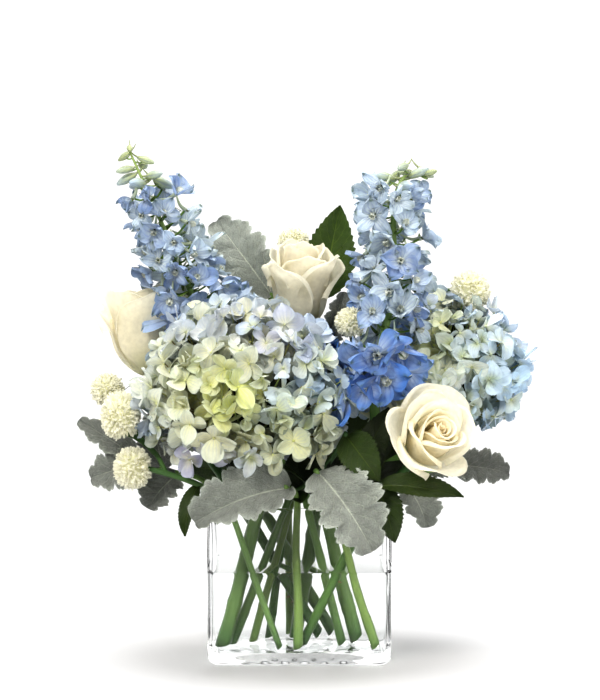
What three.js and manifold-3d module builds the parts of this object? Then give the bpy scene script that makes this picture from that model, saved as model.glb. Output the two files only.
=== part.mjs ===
// A mixed bouquet standing in a clear rectangular glass vase, in millimetres, +Z up.
// The origin is the middle of the vase's flat foot and the front of the bouquet faces -Y.
import * as THREE from "three";
import { mergeVertices } from "three/addons/utils/BufferGeometryUtils.js";
import { ConvexGeometry } from "three/addons/geometries/ConvexGeometry.js";
import Module from "manifold-3d";

const wasm = await Module();
wasm.setup();

// ---- driving dimensions -------------------------------------------------------------------
const vase = { width: 150, depth: 100, height: 130, wall: 5, base: 10, corner: 10, heel: 7 };
const water = { level: 76 };
const gap = 0.3; // clearance between two parts that touch
const facetLoss = 0.06; // how far a needless corner may be flattened
const leafThickness = 0.9;
const petalThickness = 0.9;
// Radius of a floret, how far its throat runs in, and how far the florets stand over the core
const hydrangea = { floret: 20, funnel: 20, cover: 16 };
const rose = { radius: 38, height: 66, rimDrop: 7 };
const sepals = { count: 5, reach: 16, waist: 5, hip: 6 }; // the green star under a rose
const pompon = { florets: 38, point: 1.18 }; // florets per flower and how far their tips stand out
const delphinium = { floret: 17.5, rise: 0.25, openShare: 0.8, buds: 6, budReach: 9, bud: 4.6 };
const golden = 2.39996; // the turn from one leaf or floret to the next

const looks = {
  glass: { color: 0xe4ecec, roughness: 0.05, opacity: 0.35 },
  water: { color: 0xdfe9e8, roughness: 0.05, opacity: 0.35 },
  stem: { color: 0x5c8a3c, roughness: 0.5 },
  darkStem: { color: 0x47702f, roughness: 0.5 },
  leaf: { color: 0x2f4a28, roughness: 0.5 },
  dusty: { color: 0xa9b3ae, roughness: 0.9 },
  hydrangea: { color: 0xb4c6dd, roughness: 0.7 },
  hydrangeaRight: { color: 0xb2cbe6, roughness: 0.7 },
  delphinium: { color: 0x8ba6dc, roughness: 0.6 },
  delphiniumRight: { color: 0x7396dd, roughness: 0.6 },
  rose: { color: 0xf5ecd8, roughness: 0.6 },
  pompon: { color: 0xeeead0, roughness: 0.8 },
};

// ---- closed bodies ------------------------------------------------------------------------
const at = (x, y, z) => new THREE.Vector3(x, y, z);
const mix = THREE.MathUtils.lerp;

function seeded(seed) {
  let s = seed;
  return () => {
    s = (s * 1664525 + 1013904223) % 4294967296;
    return s / 4294967296;
  };
}

// A solid from corner points and outward triangles
function body(points, faces) {
  return new wasm.Manifold(new wasm.Mesh({
    numProp: 3,
    vertProperties: new Float32Array(points.flatMap((p) => [p.x, p.y, p.z])),
    triVerts: new Uint32Array(faces.flat()),
  }));
}

function solidFrom(geometry) {
  const plain = geometry.clone();
  plain.deleteAttribute("normal");
  plain.deleteAttribute("uv");
  const welded = mergeVertices(plain, 1e-4);
  return new wasm.Manifold(new wasm.Mesh({
    numProp: 3,
    vertProperties: new Float32Array(welded.attributes.position.array),
    triVerts: new Uint32Array(welded.index.array),
  }));
}

const join = (solids) => solids.reduce((all, one) => all.add(one));
const clear = (solid, others) => others.every((o) => solid.minGap(o, 2) > 2 * gap);

// The largest closed body without needless corners, with any sealed hollow filled
function whole(solid) {
  const shells = solid.simplify(facetLoss).decompose();
  return shells.reduce((best, shell) => (shell.volume() > best.volume() ? shell : best));
}

// Rings of equally many points stacked into one body, flat at both ends
function stack(rings) {
  const n = rings[0].length;
  const points = rings.flat();
  const faces = [];
  for (let k = 0; k + 1 < rings.length; k += 1) {
    for (let i = 0; i < n; i += 1) {
      const a = k * n + i, b = k * n + ((i + 1) % n);
      faces.push([a, b, b + n], [a, b + n, a + n]);
    }
  }
  const last = (rings.length - 1) * n;
  for (let i = 1; i + 1 < n; i += 1) faces.push([0, i + 1, i], [last, last + i, last + i + 1]);
  return body(points, faces);
}

// A thin blade over a grid of points, its two faces split into triangles alike
function blade(rows, thickness) {
  const n = rows.length, m = rows[0].length;
  const lift = (i, j) => {
    const along = rows[Math.min(i + 1, n - 1)][j].clone().sub(rows[Math.max(i - 1, 0)][j]);
    const across = rows[i][Math.min(j + 1, m - 1)].clone().sub(rows[i][Math.max(j - 1, 0)]);
    return along.cross(across).normalize().multiplyScalar(thickness / 2);
  };
  const points = [];
  for (const side of [1, -1]) {
    rows.forEach((row, i) => row.forEach((p, j) => points.push(p.clone().addScaledVector(lift(i, j), side))));
  }
  const under = n * m;
  const faces = [];
  for (let i = 0; i + 1 < n; i += 1) {
    for (let j = 0; j + 1 < m; j += 1) {
      const a = i * m + j, b = a + m, c = b + 1, d = a + 1;
      faces.push([a, b, c], [a, c, d]);
      faces.push([a + under, c + under, b + under], [a + under, d + under, c + under]);
    }
  }
  const rim = [];
  for (let i = 0; i < n - 1; i += 1) rim.push(i * m);
  for (let j = 0; j < m - 1; j += 1) rim.push((n - 1) * m + j);
  for (let i = n - 1; i > 0; i -= 1) rim.push(i * m + m - 1);
  for (let j = m - 1; j > 0; j -= 1) rim.push(j);
  rim.forEach((p, k) => {
    const q = rim[(k + 1) % rim.length];
    faces.push([q, p, p + under], [q, p + under, q + under]);
  });
  return body(points, faces);
}

// A round stalk along a smooth line, straight to its second point; its ends may reach out by `reach`
function stalk(line, r0, r1 = r0, { sides = 6, reach = 0, fine = 2 } = {}) {
  const curve = new THREE.CatmullRomCurve3(line.map((p) => at(...p)), false, "centripetal");
  const spans = line.length - 1;
  const stops = [0];
  for (let k = 1; k <= spans * fine; k += 1) if (k >= fine) stops.push(k / (spans * fine));
  const centres = stops.map((t) => curve.getPoint(t));
  const last = centres.length - 1;
  const ahead = (k) => centres[Math.min(k + 1, last)].clone().sub(centres[Math.max(k - 1, 0)]).normalize();
  let flat = at(0, 1, 0);
  const rings = centres.map((centre, k) => {
    const along = ahead(k);
    flat = flat.clone().addScaledVector(along, -flat.dot(along)).normalize();
    const across = along.clone().cross(flat);
    const radius = mix(r0, r1, stops[k]);
    const shift = k === 0 ? -reach : k === last ? reach : 0;
    return Array.from({ length: sides }, (_, i) => {
      const a = (2 * Math.PI * i) / sides;
      return centre.clone().addScaledVector(along, shift)
        .addScaledVector(flat, radius * Math.cos(a)).addScaledVector(across, radius * Math.sin(a));
    });
  });
  return stack(rings);
}

// A placed frame: z runs along `axis`, turned about it by `spin`
function place(origin, axis, spin = 0) {
  const turn = new THREE.Quaternion().setFromUnitVectors(at(0, 0, 1), axis.clone().normalize());
  const own = new THREE.Quaternion().setFromAxisAngle(at(0, 0, 1), spin);
  return new THREE.Matrix4().compose(origin, turn.multiply(own), at(1, 1, 1));
}

// ---- leaves -------------------------------------------------------------------------------
// Half-widths along a leaf: narrow leaf stalk, then the blade with teeth or rounded lobes
const toothed = (t) => Math.pow(Math.sin(Math.PI * Math.pow(t, 0.75)), 0.8);
function margin(kind, stations, width) {
  return Array.from({ length: stations }, (_, i) => {
    const t = i / (stations - 1);
    if (i === 0) return 1.2;
    if (i === stations - 1) return kind === "lobed" ? width * 0.16 : 0.8;
    const notch = kind === "lobed" ? 0.58 : 0.9;
    const blunt = kind === "lobed" ? Math.pow(toothed(t), 0.6) : toothed(t);
    return Math.max(1.2, width * blunt * (i % 2 ? notch : 1));
  });
}

// A leaf from base to tip: `face` is the side its top looks to, `bow` arches it, `cup` lifts its edges
function leaf(base, tip, { face, width, kind = "toothed", bow = 0.12, cup = 0.25, stations = 8 }) {
  const a = at(...base), b = at(...tip), up = at(...face).normalize();
  const length = a.distanceTo(b);
  const mid = a.clone().lerp(b, 0.5).addScaledVector(up, 2 * bow * length);
  const rib = new THREE.QuadraticBezierCurve3(a, mid, b);
  const rows = margin(kind, stations, width).map((half, i) => {
    const t = i / (stations - 1);
    const p = rib.getPoint(t), along = rib.getTangent(t);
    const side = along.clone().cross(up).normalize();
    const over = side.clone().cross(along);
    return [-1, 0, 1].map((s) => p.clone()
      .addScaledVector(side, s * half)
      .addScaledVector(over, Math.abs(s) * half * cup));
  });
  return blade(rows, leafThickness);
}

// ---- the vase and its water ---------------------------------------------------------------
function roundedRing(inset, z) {
  const w = vase.width / 2 - inset, d = vase.depth / 2 - inset;
  const r = Math.max(vase.corner - inset, 4);
  const ring = [];
  for (const [sx, sy, start] of [[1, 1, 0], [-1, 1, 1], [-1, -1, 2], [1, -1, 3]]) {
    for (let k = 0; k <= 3; k += 1) {
      const a = (start + k / 3) * Math.PI / 2;
      ring.push(at(sx * (w - r) + r * Math.cos(a), sy * (d - r) + r * Math.sin(a), z));
    }
  }
  return ring;
}

function vaseSolid() {
  const { height, wall, base, heel } = vase;
  const outside = stack([
    roundedRing(heel, 0),
    roundedRing(heel * 0.35, heel * 0.3),
    roundedRing(0, heel * 1.2),
    roundedRing(0, height),
  ]);
  const inside = stack([
    roundedRing(wall + 4, base),
    roundedRing(wall, base + 4),
    roundedRing(wall, height + 5),
  ]);
  return outside.subtract(inside);
}

function waterSolid(holes) {
  const inset = vase.wall + gap;
  const pool = stack([
    roundedRing(inset + 4.1, vase.base + gap),
    roundedRing(inset, vase.base + 4 + gap / 2),
    roundedRing(inset, water.level),
  ]);
  return holes.reduce((all, hole) => all.subtract(hole), pool);
}

// ---- stems: each stands in the vase and leans to its own flower -----------------------------
const stems = {
  hydrangea_left_stem: { line: [[-62, -23, 15], [-32, -23, 131], [-38, -31, 152], [-41, -34, 176]],
    r: [5.5, 5] },
  hydrangea_right_stem: { line: [[-3, 19, 15], [17, 19, 131], [50, 29, 150], [84, 39, 168], [104, 44, 186]],
    r: [5, 5] },
  delphinium_left_stem: { line: [[27, 29, 17], [-39, 29, 131], [-53, 36, 180], [-69, 33, 232],
    [-76, 25, 262]], r: [4.5, 4] },
  delphinium_right_stem: { line: [[47, -1, 16], [18, -1, 131], [42, -12, 160], [62, -28, 192]],
    r: [5.5, 4.5] },
  rose_right_stem: { line: [[2, -24, 15], [60, -24, 131], [78, -31, 150], [95, -43, 173]], r: [3.5, 3.5] },
  rose_centre_stem: { line: [[-25, 19, 14], [-9, 19, 131], [-9, 32, 180], [-3, 31, 230], [1, 15, 267]],
    r: [3.3, 3.3] },
  rose_left_stem: { line: [[16, 9, 18], [-53, 9, 131], [-84, 26, 172], [-112, 25, 205], [-125, 21, 228]],
    r: [4, 3.5] },
  pompon_left_stem: { line: [[-16, -34, 14], [-58, -34, 131], [-82, -37, 148], [-108, -40, 158],
    [-127, -40, 162]], r: [2.5, 2.2] },
  pompon_back_stem: { line: [[46, 38, 14], [18, 38, 131], [28, 56, 180], [14, 68, 260], [-4, 70, 332]],
    r: [2.8, 2.2] },
  pompon_centre_stem: { line: [[35, -12, 14], [5, -12, 131], [21, 6, 170], [37, 9, 215], [45, -10, 250],
    [42, -32, 272]], r: [3.6, 2.2] },
  dusty_miller_back: { line: [[-8, 38, 14], [-9, 38, 131], [-20, 50, 200], [-24, 60, 272],
    [-24, 61, 302]], r: [3.2, 2.2] },
  dusty_miller_centre: { line: [[-38, -1, 14], [-6, -1, 131], [6, 15, 170], [21, 22, 215], [27, 6, 244],
    [22, -15, 264]], r: [3.2, 2] },
  dusty_miller_front_left: { line: [[-1, -34, 14], [-2, -34, 128], [-5, -46, 144], [-12, -60, 149]],
    r: [3.7, 2] },
  dusty_miller_front_right: { line: [[62, -34, 15], [27, -34, 128], [22, -48, 148], [13, -64, 163]],
    r: [3.7, 2] },
  greenery_front: { line: [[-55, -12, 14], [-9, -12, 131], [13, -29, 152], [30, -44, 176], [38, -50, 192]],
    r: [3.7, 2] },
};
const stemSolid = (name, swell = 0) => {
  const { line, r } = stems[name];
  return stalk(line, r[0] + swell, r[1] + swell, { reach: swell && gap });
};
const socket = (name) => stemSolid(name, gap * 1.2);

// Short sprigs tucked into the mouth of the vase, resting on its rim
const sprigs = {
  dusty_miller_left: { line: [[-66.5, -8, 112], [-68.1, -8, 132.5], [-80, -4, 147], [-104, 3, 153],
    [-130, 5, 162]], r: [2.5, 1.8] },
  dusty_miller_right: { line: [[66.5, 2, 112], [68.1, 2, 132.5], [81, 0, 147], [104, -5, 154],
    [130, -8, 160]], r: [2.5, 1.8] },
};

// ---- foliage on each stem -------------------------------------------------------------------
const dustyLeaves = {
  dusty_miller_back: [
    [[-24, 60, 296], [-70, 58, 358], { face: [0, -1, 0.2], width: 25 }],
    [[-11, 42, 148], [-44, 92, 128], { face: [0, 0.7, 0.8], width: 20 }],
    [[-21, 51, 206], [-66, 92, 196], { face: [0, 0.8, 0.6], width: 20 }],
    [[-24, 60, 270], [18, 96, 306], { face: [0, 1, 0.3], width: 20 }],
  ],
  dusty_miller_centre: [
    [[22, -15, 262], [36, -23, 304], { face: [0.45, -0.85, 0.2], width: 15, cup: 0.5, bow: 0.04 }],
  ],
  dusty_miller_front_left: [
    [[-8, -57, 148], [-83, -82, 124], { face: [0, -0.8, 0.6], width: 27, stations: 11 }],
  ],
  dusty_miller_front_right: [
    [[15, -61, 161], [58, -88, 102], { face: [0.1, -0.85, 0.5], width: 31, stations: 11 }],
  ],
  dusty_miller_left: [
    [[-100, 2, 152], [-124, -22, 126], { face: [-0.3, -0.9, 0.3], width: 19 }],
    [[-128, 5, 161], [-172, -2, 148], { face: [0, -1, 0.3], width: 19 }],
    [[-118, 4, 157], [-129, 4, 198], { face: [0, -1, 0], width: 13 }],
    [[-128, 5, 161], [-182, 2, 196], { face: [0, -1, 0.2], width: 12 }],
  ],
  dusty_miller_right: [
    [[84, -1, 147], [104, -34, 112], { face: [0.3, -0.8, 0.5], width: 20 }],
    [[126, -8, 160], [172, -14, 154], { face: [0, -0.9, 0.4], width: 16 }],
    [[108, -5, 155], [140, 30, 140], { face: [0.3, 0.6, 0.7], width: 16 }],
  ],
};
const greenLeaves = {
  rose_right_stem: [
    [[64, -70, 150], [130, -84, 142], { face: [0, -0.6, 0.8], width: 12, bow: 0.02 }],
    [[63, -66, 152], [76, -76, 107], { face: [0.1, -1, 0.1], width: 14 }],
  ],
  rose_centre_stem: [
    [[19, 55, 293], [34, 51, 372], { face: [0, -1, 0.1], width: 23, bow: -0.04 }],
  ],
  delphinium_left_stem: [
    [[-53, 36, 180], [-118, 68, 212], { face: [0, 0.8, 0.5], width: 20 }],
    [[-44, 33, 148], [-92, 50, 150], { face: [0, -1, 0.2], width: 18 }],
  ],
  pompon_left_stem: [[[-82, -37, 148], [-92, -52, 108], { face: [-0.5, -0.8, 0.1], width: 9 }]],
  pompon_back_stem: [
    [[102, 82, 293], [98, 40, 306], { face: [0, -0.4, 0.9], width: 9 }],
    [[25, 51, 160], [72, 64, 196], { face: [0, -1, 0.2], width: 21 }],
    [[22, 49, 150], [-14, 74, 188], { face: [0, -1, 0.2], width: 19, bow: 0 }],
  ],
  hydrangea_right_stem: [
    [[46, 28, 148], [76, 92, 122], { face: [0.1, 0.6, 0.8], width: 24 }],
    [[80, 38, 166], [150, 84, 158], { face: [0.1, 0.5, -0.9], width: 22 }],
  ],
  greenery_front: [
    [[37, -49, 190], [64, -70, 156], { face: [0.2, -0.9, 0.4], width: 16, bow: 0.08 }],
    [[6, -23, 145], [-24, -54, 164], { face: [0, -0.5, 0.9], width: 8 }],
  ],
};
// Side stalks that carry a leaf group or a second flower
const branches = {
  rose_right_stem: [[[[74, -29, 146], [72, -50, 155], [64, -71, 153]], 1.4]],
  rose_centre_stem: [[[[-3, 31, 232], [8, 45, 262], [19, 55, 295]], 1.4]],
  pompon_left_stem: [
    [[[-108, -40, 158], [-118, -22, 172], [-133, -21, 184], [-143, -33, 190]], 2],
    [[[-118, -23, 171], [-138, -12, 192], [-155, -6, 211]], 1.8],
  ],
  pompon_back_stem: [[[[28, 58, 188], [44, 76, 238], [70, 86, 273], [104, 82, 294], [133, 60, 300]], 2.2]],
};

function foliage(name) {
  return [
    ...(branches[name] ?? []).map(([line, r]) => stalk(line, r, r, { sides: 5 })),
    ...(dustyLeaves[name] ?? []).map(([a, b, how]) => leaf(a, b, { kind: "lobed", ...how })),
    ...(greenLeaves[name] ?? []).map(([a, b, how]) => leaf(a, b, how)),
  ];
}

// A star of five narrow sepals under a rose, bent away from the bloom
function calyx(frame) {
  const corners = 2 * sepals.count;
  const ring = Array.from({ length: corners }, (_, k) => {
    const a = (2 * Math.PI * k) / corners, r = k % 2 ? sepals.waist : sepals.reach;
    return at(r * Math.cos(a), r * Math.sin(a), k % 2 ? -2 : -5).applyMatrix4(frame);
  });
  const points = [at(0, 0, -2 * gap).applyMatrix4(frame), at(0, 0, -sepals.hip).applyMatrix4(frame), ...ring];
  return body(points, ring.flatMap((_, k) => {
    const p = 2 + k, q = 2 + ((k + 1) % corners);
    return [[0, p, q], [1, q, p]];
  }));
}

// ---- flowers --------------------------------------------------------------------------------
// An open floret of rounded lobes; its throat runs back as a funnel to the point `root`
function floret(frame, { lobes, radius, cup, root }) {
  const ring = (r, z, a) => at(r * Math.cos(a), r * Math.sin(a), z).applyMatrix4(frame);
  const step = (2 * Math.PI) / lobes;
  const points = [ring(0, 1, 0), root], faces = [];
  for (let k = 0; k < lobes; k += 1) {
    const a = k * step;
    points.push(ring(radius * 0.36, -1, a));
    points.push(ring(radius, cup, a + step * 0.22), ring(radius, cup, a + step * 0.78));
  }
  for (let k = 0; k < lobes; k += 1) {
    const v = 2 + 3 * k, w = 2 + 3 * ((k + 1) % lobes), s = v + 1, t = v + 2;
    faces.push([0, v, s], [0, s, t], [0, t, w], [v, t, s], [v, w, t], [v, 1, w]);
  }
  return body(points, faces);
}

// Points spread evenly over a ball
function scatter(count) {
  return Array.from({ length: count }, (_, k) => {
    const z = 1 - (2 * k + 1) / count, a = k * golden;
    return at(Math.sqrt(1 - z * z) * Math.cos(a), Math.sqrt(1 - z * z) * Math.sin(a), z);
  });
}

// A mop head: a smaller core covered by open florets, left bare round its stem
function mopCore({ centre, size }) {
  const [x, y, z] = size.map((half) => half - hydrangea.cover);
  return solidFrom(new THREE.IcosahedronGeometry(1, 2).scale(x, y, z).translate(...centre));
}

function mopHead({ centre, size, count, seed, foot, stem }, obstacles) {
  const random = seeded(seed);
  const middle = at(...centre), half = at(...size);
  let head = mopCore({ centre, size });
  for (const dir of scatter(count)) {
    if (dir.z < foot) continue;
    const out = dir.clone().divide(half).normalize();
    const depth = mix(3, 8, random());
    const spot = middle.clone().add(dir.clone().multiply(half)).addScaledVector(out, -depth);
    const tilt = out.clone().add(at(random() - 0.5, random() - 0.5, random() - 0.5).multiplyScalar(0.35));
    const root = spot.clone().addScaledVector(out, -hydrangea.funnel);
    const one = floret(place(spot, tilt, random() * Math.PI),
      { lobes: 4, radius: hydrangea.floret * mix(0.9, 1.08, random()), cup: mix(-3, 1.5, random()), root });
    if (clear(one, obstacles)) head = head.add(one);
  }
  return head.subtract(socket(stem));
}

// A spike: open florets in a spiral up the stalk, closed buds at its tip
function spike({ line, r, count, reach, seed, stem }, obstacles) {
  const random = seeded(seed);
  const { openShare, rise, buds, budReach } = delphinium;
  const curve = new THREE.CatmullRomCurve3(line.map((p) => at(...p)), false, "centripetal");
  let all = stalk(line, r, 1.2, { fine: 1 });
  for (let k = 0; k < count; k += 1) {
    const t = 0.03 + openShare * Math.pow(k / (count - 1), 1.15);
    const hub = curve.getPointAt(t), up = curve.getTangentAt(t);
    const a = k * golden + seed;
    const side = at(Math.cos(a), Math.sin(a), 0);
    side.addScaledVector(up, -side.dot(up)).normalize();
    const far = mix(reach[0], reach[1], t) * mix(0.85, 1.1, random());
    const spot = hub.clone().addScaledVector(side, far).addScaledVector(up, far * rise);
    const look = side.clone().addScaledVector(up, mix(-0.1, 0.35, random()));
    const size = delphinium.floret * mix(1.08, 0.72, t) * mix(0.92, 1.08, random());
    const one = floret(place(spot, look, random() * 6),
      { lobes: 5, radius: size, cup: mix(2, 5, random()), root: hub });
    if (clear(one, obstacles)) all = all.add(one);
  }
  for (let k = 0; k < buds; k += 1) {
    const young = k / (buds - 1), a = k * golden;
    const t = mix(openShare + 0.04, 1, young);
    const hub = curve.getPointAt(t), up = curve.getTangentAt(t);
    const side = at(Math.cos(a), Math.sin(a), 0.5);
    const spot = hub.clone().addScaledVector(side, budReach * mix(1, 0.3, young));
    const bud = new THREE.OctahedronGeometry(delphinium.bud * mix(1, 0.65, young)).scale(0.8, 0.8, 1.5);
    bud.applyMatrix4(place(spot, side.add(up)));
    all = all.add(stalk([hub.toArray(), spot.toArray()], 1, 1, { sides: 3, fine: 1 })).add(solidFrom(bud));
  }
  return all.subtract(socket(stem));
}

// One cupped petal in rings round the bloom's axis; its edges pass in front of and behind its neighbours
function rosePetal(frame, { angle, spread, radii, heights, curl }) {
  const rows = radii.map((r, i) => [-1, 0, 1].map((s) => {
    const a = angle + s * spread * Math.min(1, 0.55 + 0.25 * i);
    const rr = Math.max(r + s * curl * (i / 2), 2);
    const z = heights[i] - (i === radii.length - 1 ? Math.abs(s) * rose.rimDrop : 0);
    return at(rr * Math.cos(a), rr * Math.sin(a), z).applyMatrix4(frame);
  }));
  return blade(rows, petalThickness + 0.3);
}

function roseBloom({ base, axis, spin, scale, tall, stem }) {
  const frame = place(at(...base), at(...axis), spin);
  frame.multiply(new THREE.Matrix4().makeScale(scale, scale, tall));
  const { radius, height } = rose;
  const heart = [[0, 0], [7, 0.6], [11, 12], [12, 34], [8, height * 0.93], [0, height * 0.97]];
  const outline = heart.map(([x, z]) => new THREE.Vector2(x, z));
  const core = new THREE.LatheGeometry(outline, 8).rotateX(Math.PI / 2);
  let bloom = solidFrom(core.applyMatrix4(frame));
  const girth = (...shares) => [5, ...shares.map((share) => radius * share)];
  const rings = [
    { count: 5, spread: 0.74, radii: girth(0.72, 0.92, 1.06), heights: [3, 14, 36, 50], curl: 2.4 },
    { count: 4, spread: 0.9, radii: girth(0.6, 0.68), heights: [6, 24, 60], curl: 1.8 },
    { count: 2, spread: 1.4, radii: girth(0.42, 0.42), heights: [10, 32, height], curl: 1.6 },
  ];
  rings.forEach((ring, n) => {
    for (let k = 0; k < ring.count; k += 1) {
      bloom = bloom.add(rosePetal(frame, { ...ring, angle: (2 * Math.PI * k) / ring.count + n * 0.6 }));
    }
  });
  return bloom.subtract(socket(stem));
}

// A button flower: a ball closed by small pointed florets
function button({ centre, size, stem }) {
  const half = at(...size);
  const ball = new ConvexGeometry(scatter(pompon.florets).map((p) => p.multiply(half)));
  const hull = mergeVertices(ball.deleteAttribute("normal"));
  const { position } = hull.attributes;
  const corner = (i) => at(position.getX(i), position.getY(i), position.getZ(i));
  const points = Array.from({ length: position.count }, (_, i) => corner(i));
  const faces = [];
  for (let i = 0; i < hull.index.count; i += 3) {
    const [a, b, c] = [0, 1, 2].map((k) => hull.index.getX(i + k));
    const middle = points[a].clone().add(points[b]).add(points[c]).divideScalar(3);
    const tip = middle.multiplyScalar(pompon.point);
    points.push(tip);
    const d = points.length - 1;
    faces.push([a, b, d], [b, c, d], [c, a, d]);
  }
  points.forEach((p) => p.add(at(...centre)));
  return body(points, faces).subtract(stem);
}

// ---- the bouquet ----------------------------------------------------------------------------
const solids = {};
const roseFrames = {
  rose_right: { base: [95, -44, 175], axis: [0.24, -0.86, 0.5], spin: 0.4, scale: 0.96, tall: 0.96 },
  rose_centre: { base: [1, 13, 268], axis: [0.03, -0.16, 1], spin: 0.2, scale: 0.9, tall: 1.08 },
  rose_left: { base: [-125, 21, 229], axis: [-0.12, 0.2, 1], spin: 1.1, scale: 0.97, tall: 0.97 },
};

solids.vase = vaseSolid();
for (const name of Object.keys(stems)) {
  solids[name] = join([stemSolid(name), ...foliage(name)]);
}
for (const [name, { line, r }] of Object.entries(sprigs)) {
  solids[name] = join([stalk(line, r[0], r[1]), ...foliage(name)]);
}
for (const [name, how] of Object.entries(roseFrames)) {
  solids[`${name}_bloom`] = roseBloom({ ...how, stem: `${name}_stem` });
  const frame = place(at(...how.base), at(...how.axis), how.spin);
  solids[`${name}_stem`] = solids[`${name}_stem`].add(calyx(frame));
}
solids.water = waterSolid(Object.keys(stems).map(socket));

const stemHole = (name, index) => {
  if (index < 0) return socket(name);
  const [line, r] = branches[name][index];
  return stalk(line, r + gap * 1.2, r + gap * 1.2, { sides: 5, reach: gap });
};
const buttons = {
  pompon_left_upper: { centre: [-145, -35, 204], size: [15.5, 15.5, 19], on: ["pompon_left_stem", 0] },
  pompon_left_lower: { centre: [-135, -40, 162], size: [15, 15, 16.5], on: ["pompon_left_stem", -1] },
  pompon_left_back: { centre: [-158, -5, 222], size: [13, 13, 13], on: ["pompon_left_stem", 1] },
  pompon_back_right: { centre: [144, 50, 300], size: [16, 16, 17], on: ["pompon_back_stem", 0] },
  pompon_back_top: { centre: [-5, 70, 340], size: [13, 13, 12], on: ["pompon_back_stem", -1] },
  pompon_centre: { centre: [41, -35, 280], size: [12, 12, 11.5], on: ["pompon_centre_stem", -1] },
};
for (const [name, { centre, size, on }] of Object.entries(buttons)) {
  solids[name] = button({ centre, size, stem: stemHole(...on) });
}

const heads = {
  hydrangea_left_head: {
    centre: [-41, -35, 225], size: [84, 67, 76], count: 62, seed: 14, foot: -0.72,
    stem: "hydrangea_left_stem",
  },
  hydrangea_right_head: {
    centre: [118, 45, 232], size: [74, 58, 68], count: 50, seed: 24, foot: -0.6, stem: "hydrangea_right_stem",
  },
};
const spikes = {
  delphinium_left_spike: {
    line: [[-76, 25, 258], [-84, 22, 285], [-100, 20, 325], [-120, 20, 372], [-140, 20, 417]],
    r: 4.3, count: 17, reach: [30, 15], seed: 2, stem: "delphinium_left_stem",
  },
  delphinium_right_spike: {
    line: [[62, -28, 188], [70, -33, 222], [73, -30, 254], [76, -14, 318], [82, -4, 364], [88, 0, 400]],
    r: 4.8, count: 21, reach: [28, 21], seed: 5, stem: "delphinium_right_stem",
  },
};
const cores = Object.values(heads).map(mopCore);
for (const [name, how] of Object.entries(spikes)) {
  solids[name] = spike(how, [...Object.values(solids), ...cores]);
}
for (const [name, how] of Object.entries(heads)) solids[name] = mopHead(how, Object.values(solids));

const lookOf = (name) => {
  if (name === "vase") return looks.glass;
  if (name === "water") return looks.water;
  if (name.startsWith("dusty")) return looks.dusty;
  if (name === "greenery_front") return looks.leaf;
  if (name.startsWith("pompon") && !name.endsWith("stem")) return looks.pompon;
  if (name.endsWith("bloom")) return looks.rose;
  if (name.endsWith("spike")) return name.includes("right") ? looks.delphiniumRight : looks.delphinium;
  if (name.endsWith("head")) return name.includes("right") ? looks.hydrangeaRight : looks.hydrangea;
  return name.startsWith("rose") ? looks.darkStem : looks.stem;
};

const group = new THREE.Group();
group.name = "flower_arrangement";
for (const [name, solid] of Object.entries(solids)) {
  const { vertProperties, triVerts } = whole(solid).getMesh();
  const geometry = new THREE.BufferGeometry();
  geometry.setAttribute("position", new THREE.Float32BufferAttribute(vertProperties, 3));
  geometry.setIndex(Array.from(triVerts));
  geometry.computeVertexNormals();
  const { opacity = 1, ...surface } = lookOf(name);
  const mesh = new THREE.Mesh(geometry, new THREE.MeshStandardMaterial({
    metalness: 0, ...surface, opacity, transparent: opacity < 1,
  }));
  mesh.name = name;
  group.add(mesh);
}

export default group;
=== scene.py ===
# %% [markdown]
# A mixed bouquet in a clear glass vase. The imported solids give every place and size. They are loaded
# first and never moved. Each step then builds a finer piece over one kind of solid, such as open florets
# over a mop head, and from then on the finer piece stands for that solid.

# %% Load the frame
import math

import bpy
import numpy as np
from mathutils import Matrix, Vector


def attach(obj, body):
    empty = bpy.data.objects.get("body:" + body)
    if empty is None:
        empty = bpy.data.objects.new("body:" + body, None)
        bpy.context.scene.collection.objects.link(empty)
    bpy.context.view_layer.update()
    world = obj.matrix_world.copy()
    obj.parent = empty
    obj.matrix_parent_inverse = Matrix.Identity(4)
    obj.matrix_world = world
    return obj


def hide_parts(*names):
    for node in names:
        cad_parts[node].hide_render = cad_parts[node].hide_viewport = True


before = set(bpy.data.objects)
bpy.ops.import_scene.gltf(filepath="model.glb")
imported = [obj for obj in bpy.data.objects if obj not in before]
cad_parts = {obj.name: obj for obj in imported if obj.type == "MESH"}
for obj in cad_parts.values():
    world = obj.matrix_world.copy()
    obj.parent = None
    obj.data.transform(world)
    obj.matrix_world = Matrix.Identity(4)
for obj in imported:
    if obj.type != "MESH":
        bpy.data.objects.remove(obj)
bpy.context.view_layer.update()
MM = 0.001

# %% [markdown]
# Petals and leaves are thin sheets, so every one is a small grid of points. Thousands of grids are
# gathered in one sheaf and become one mesh, which is far quicker than thousands of objects. Each point
# carries two notes for its material: "tint", its own colour, and "mark", which says how far across and
# along its petal it lies, with a random number for that petal.


# %% Gather grids into one mesh
def srgb(*rgb):
    """A colour as given, turned into the linear light that shaders use."""
    c = np.asarray(rgb, float)
    return np.where(c <= 0.04045, c / 12.92, ((c + 0.055) / 1.055) ** 2.4)


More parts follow.
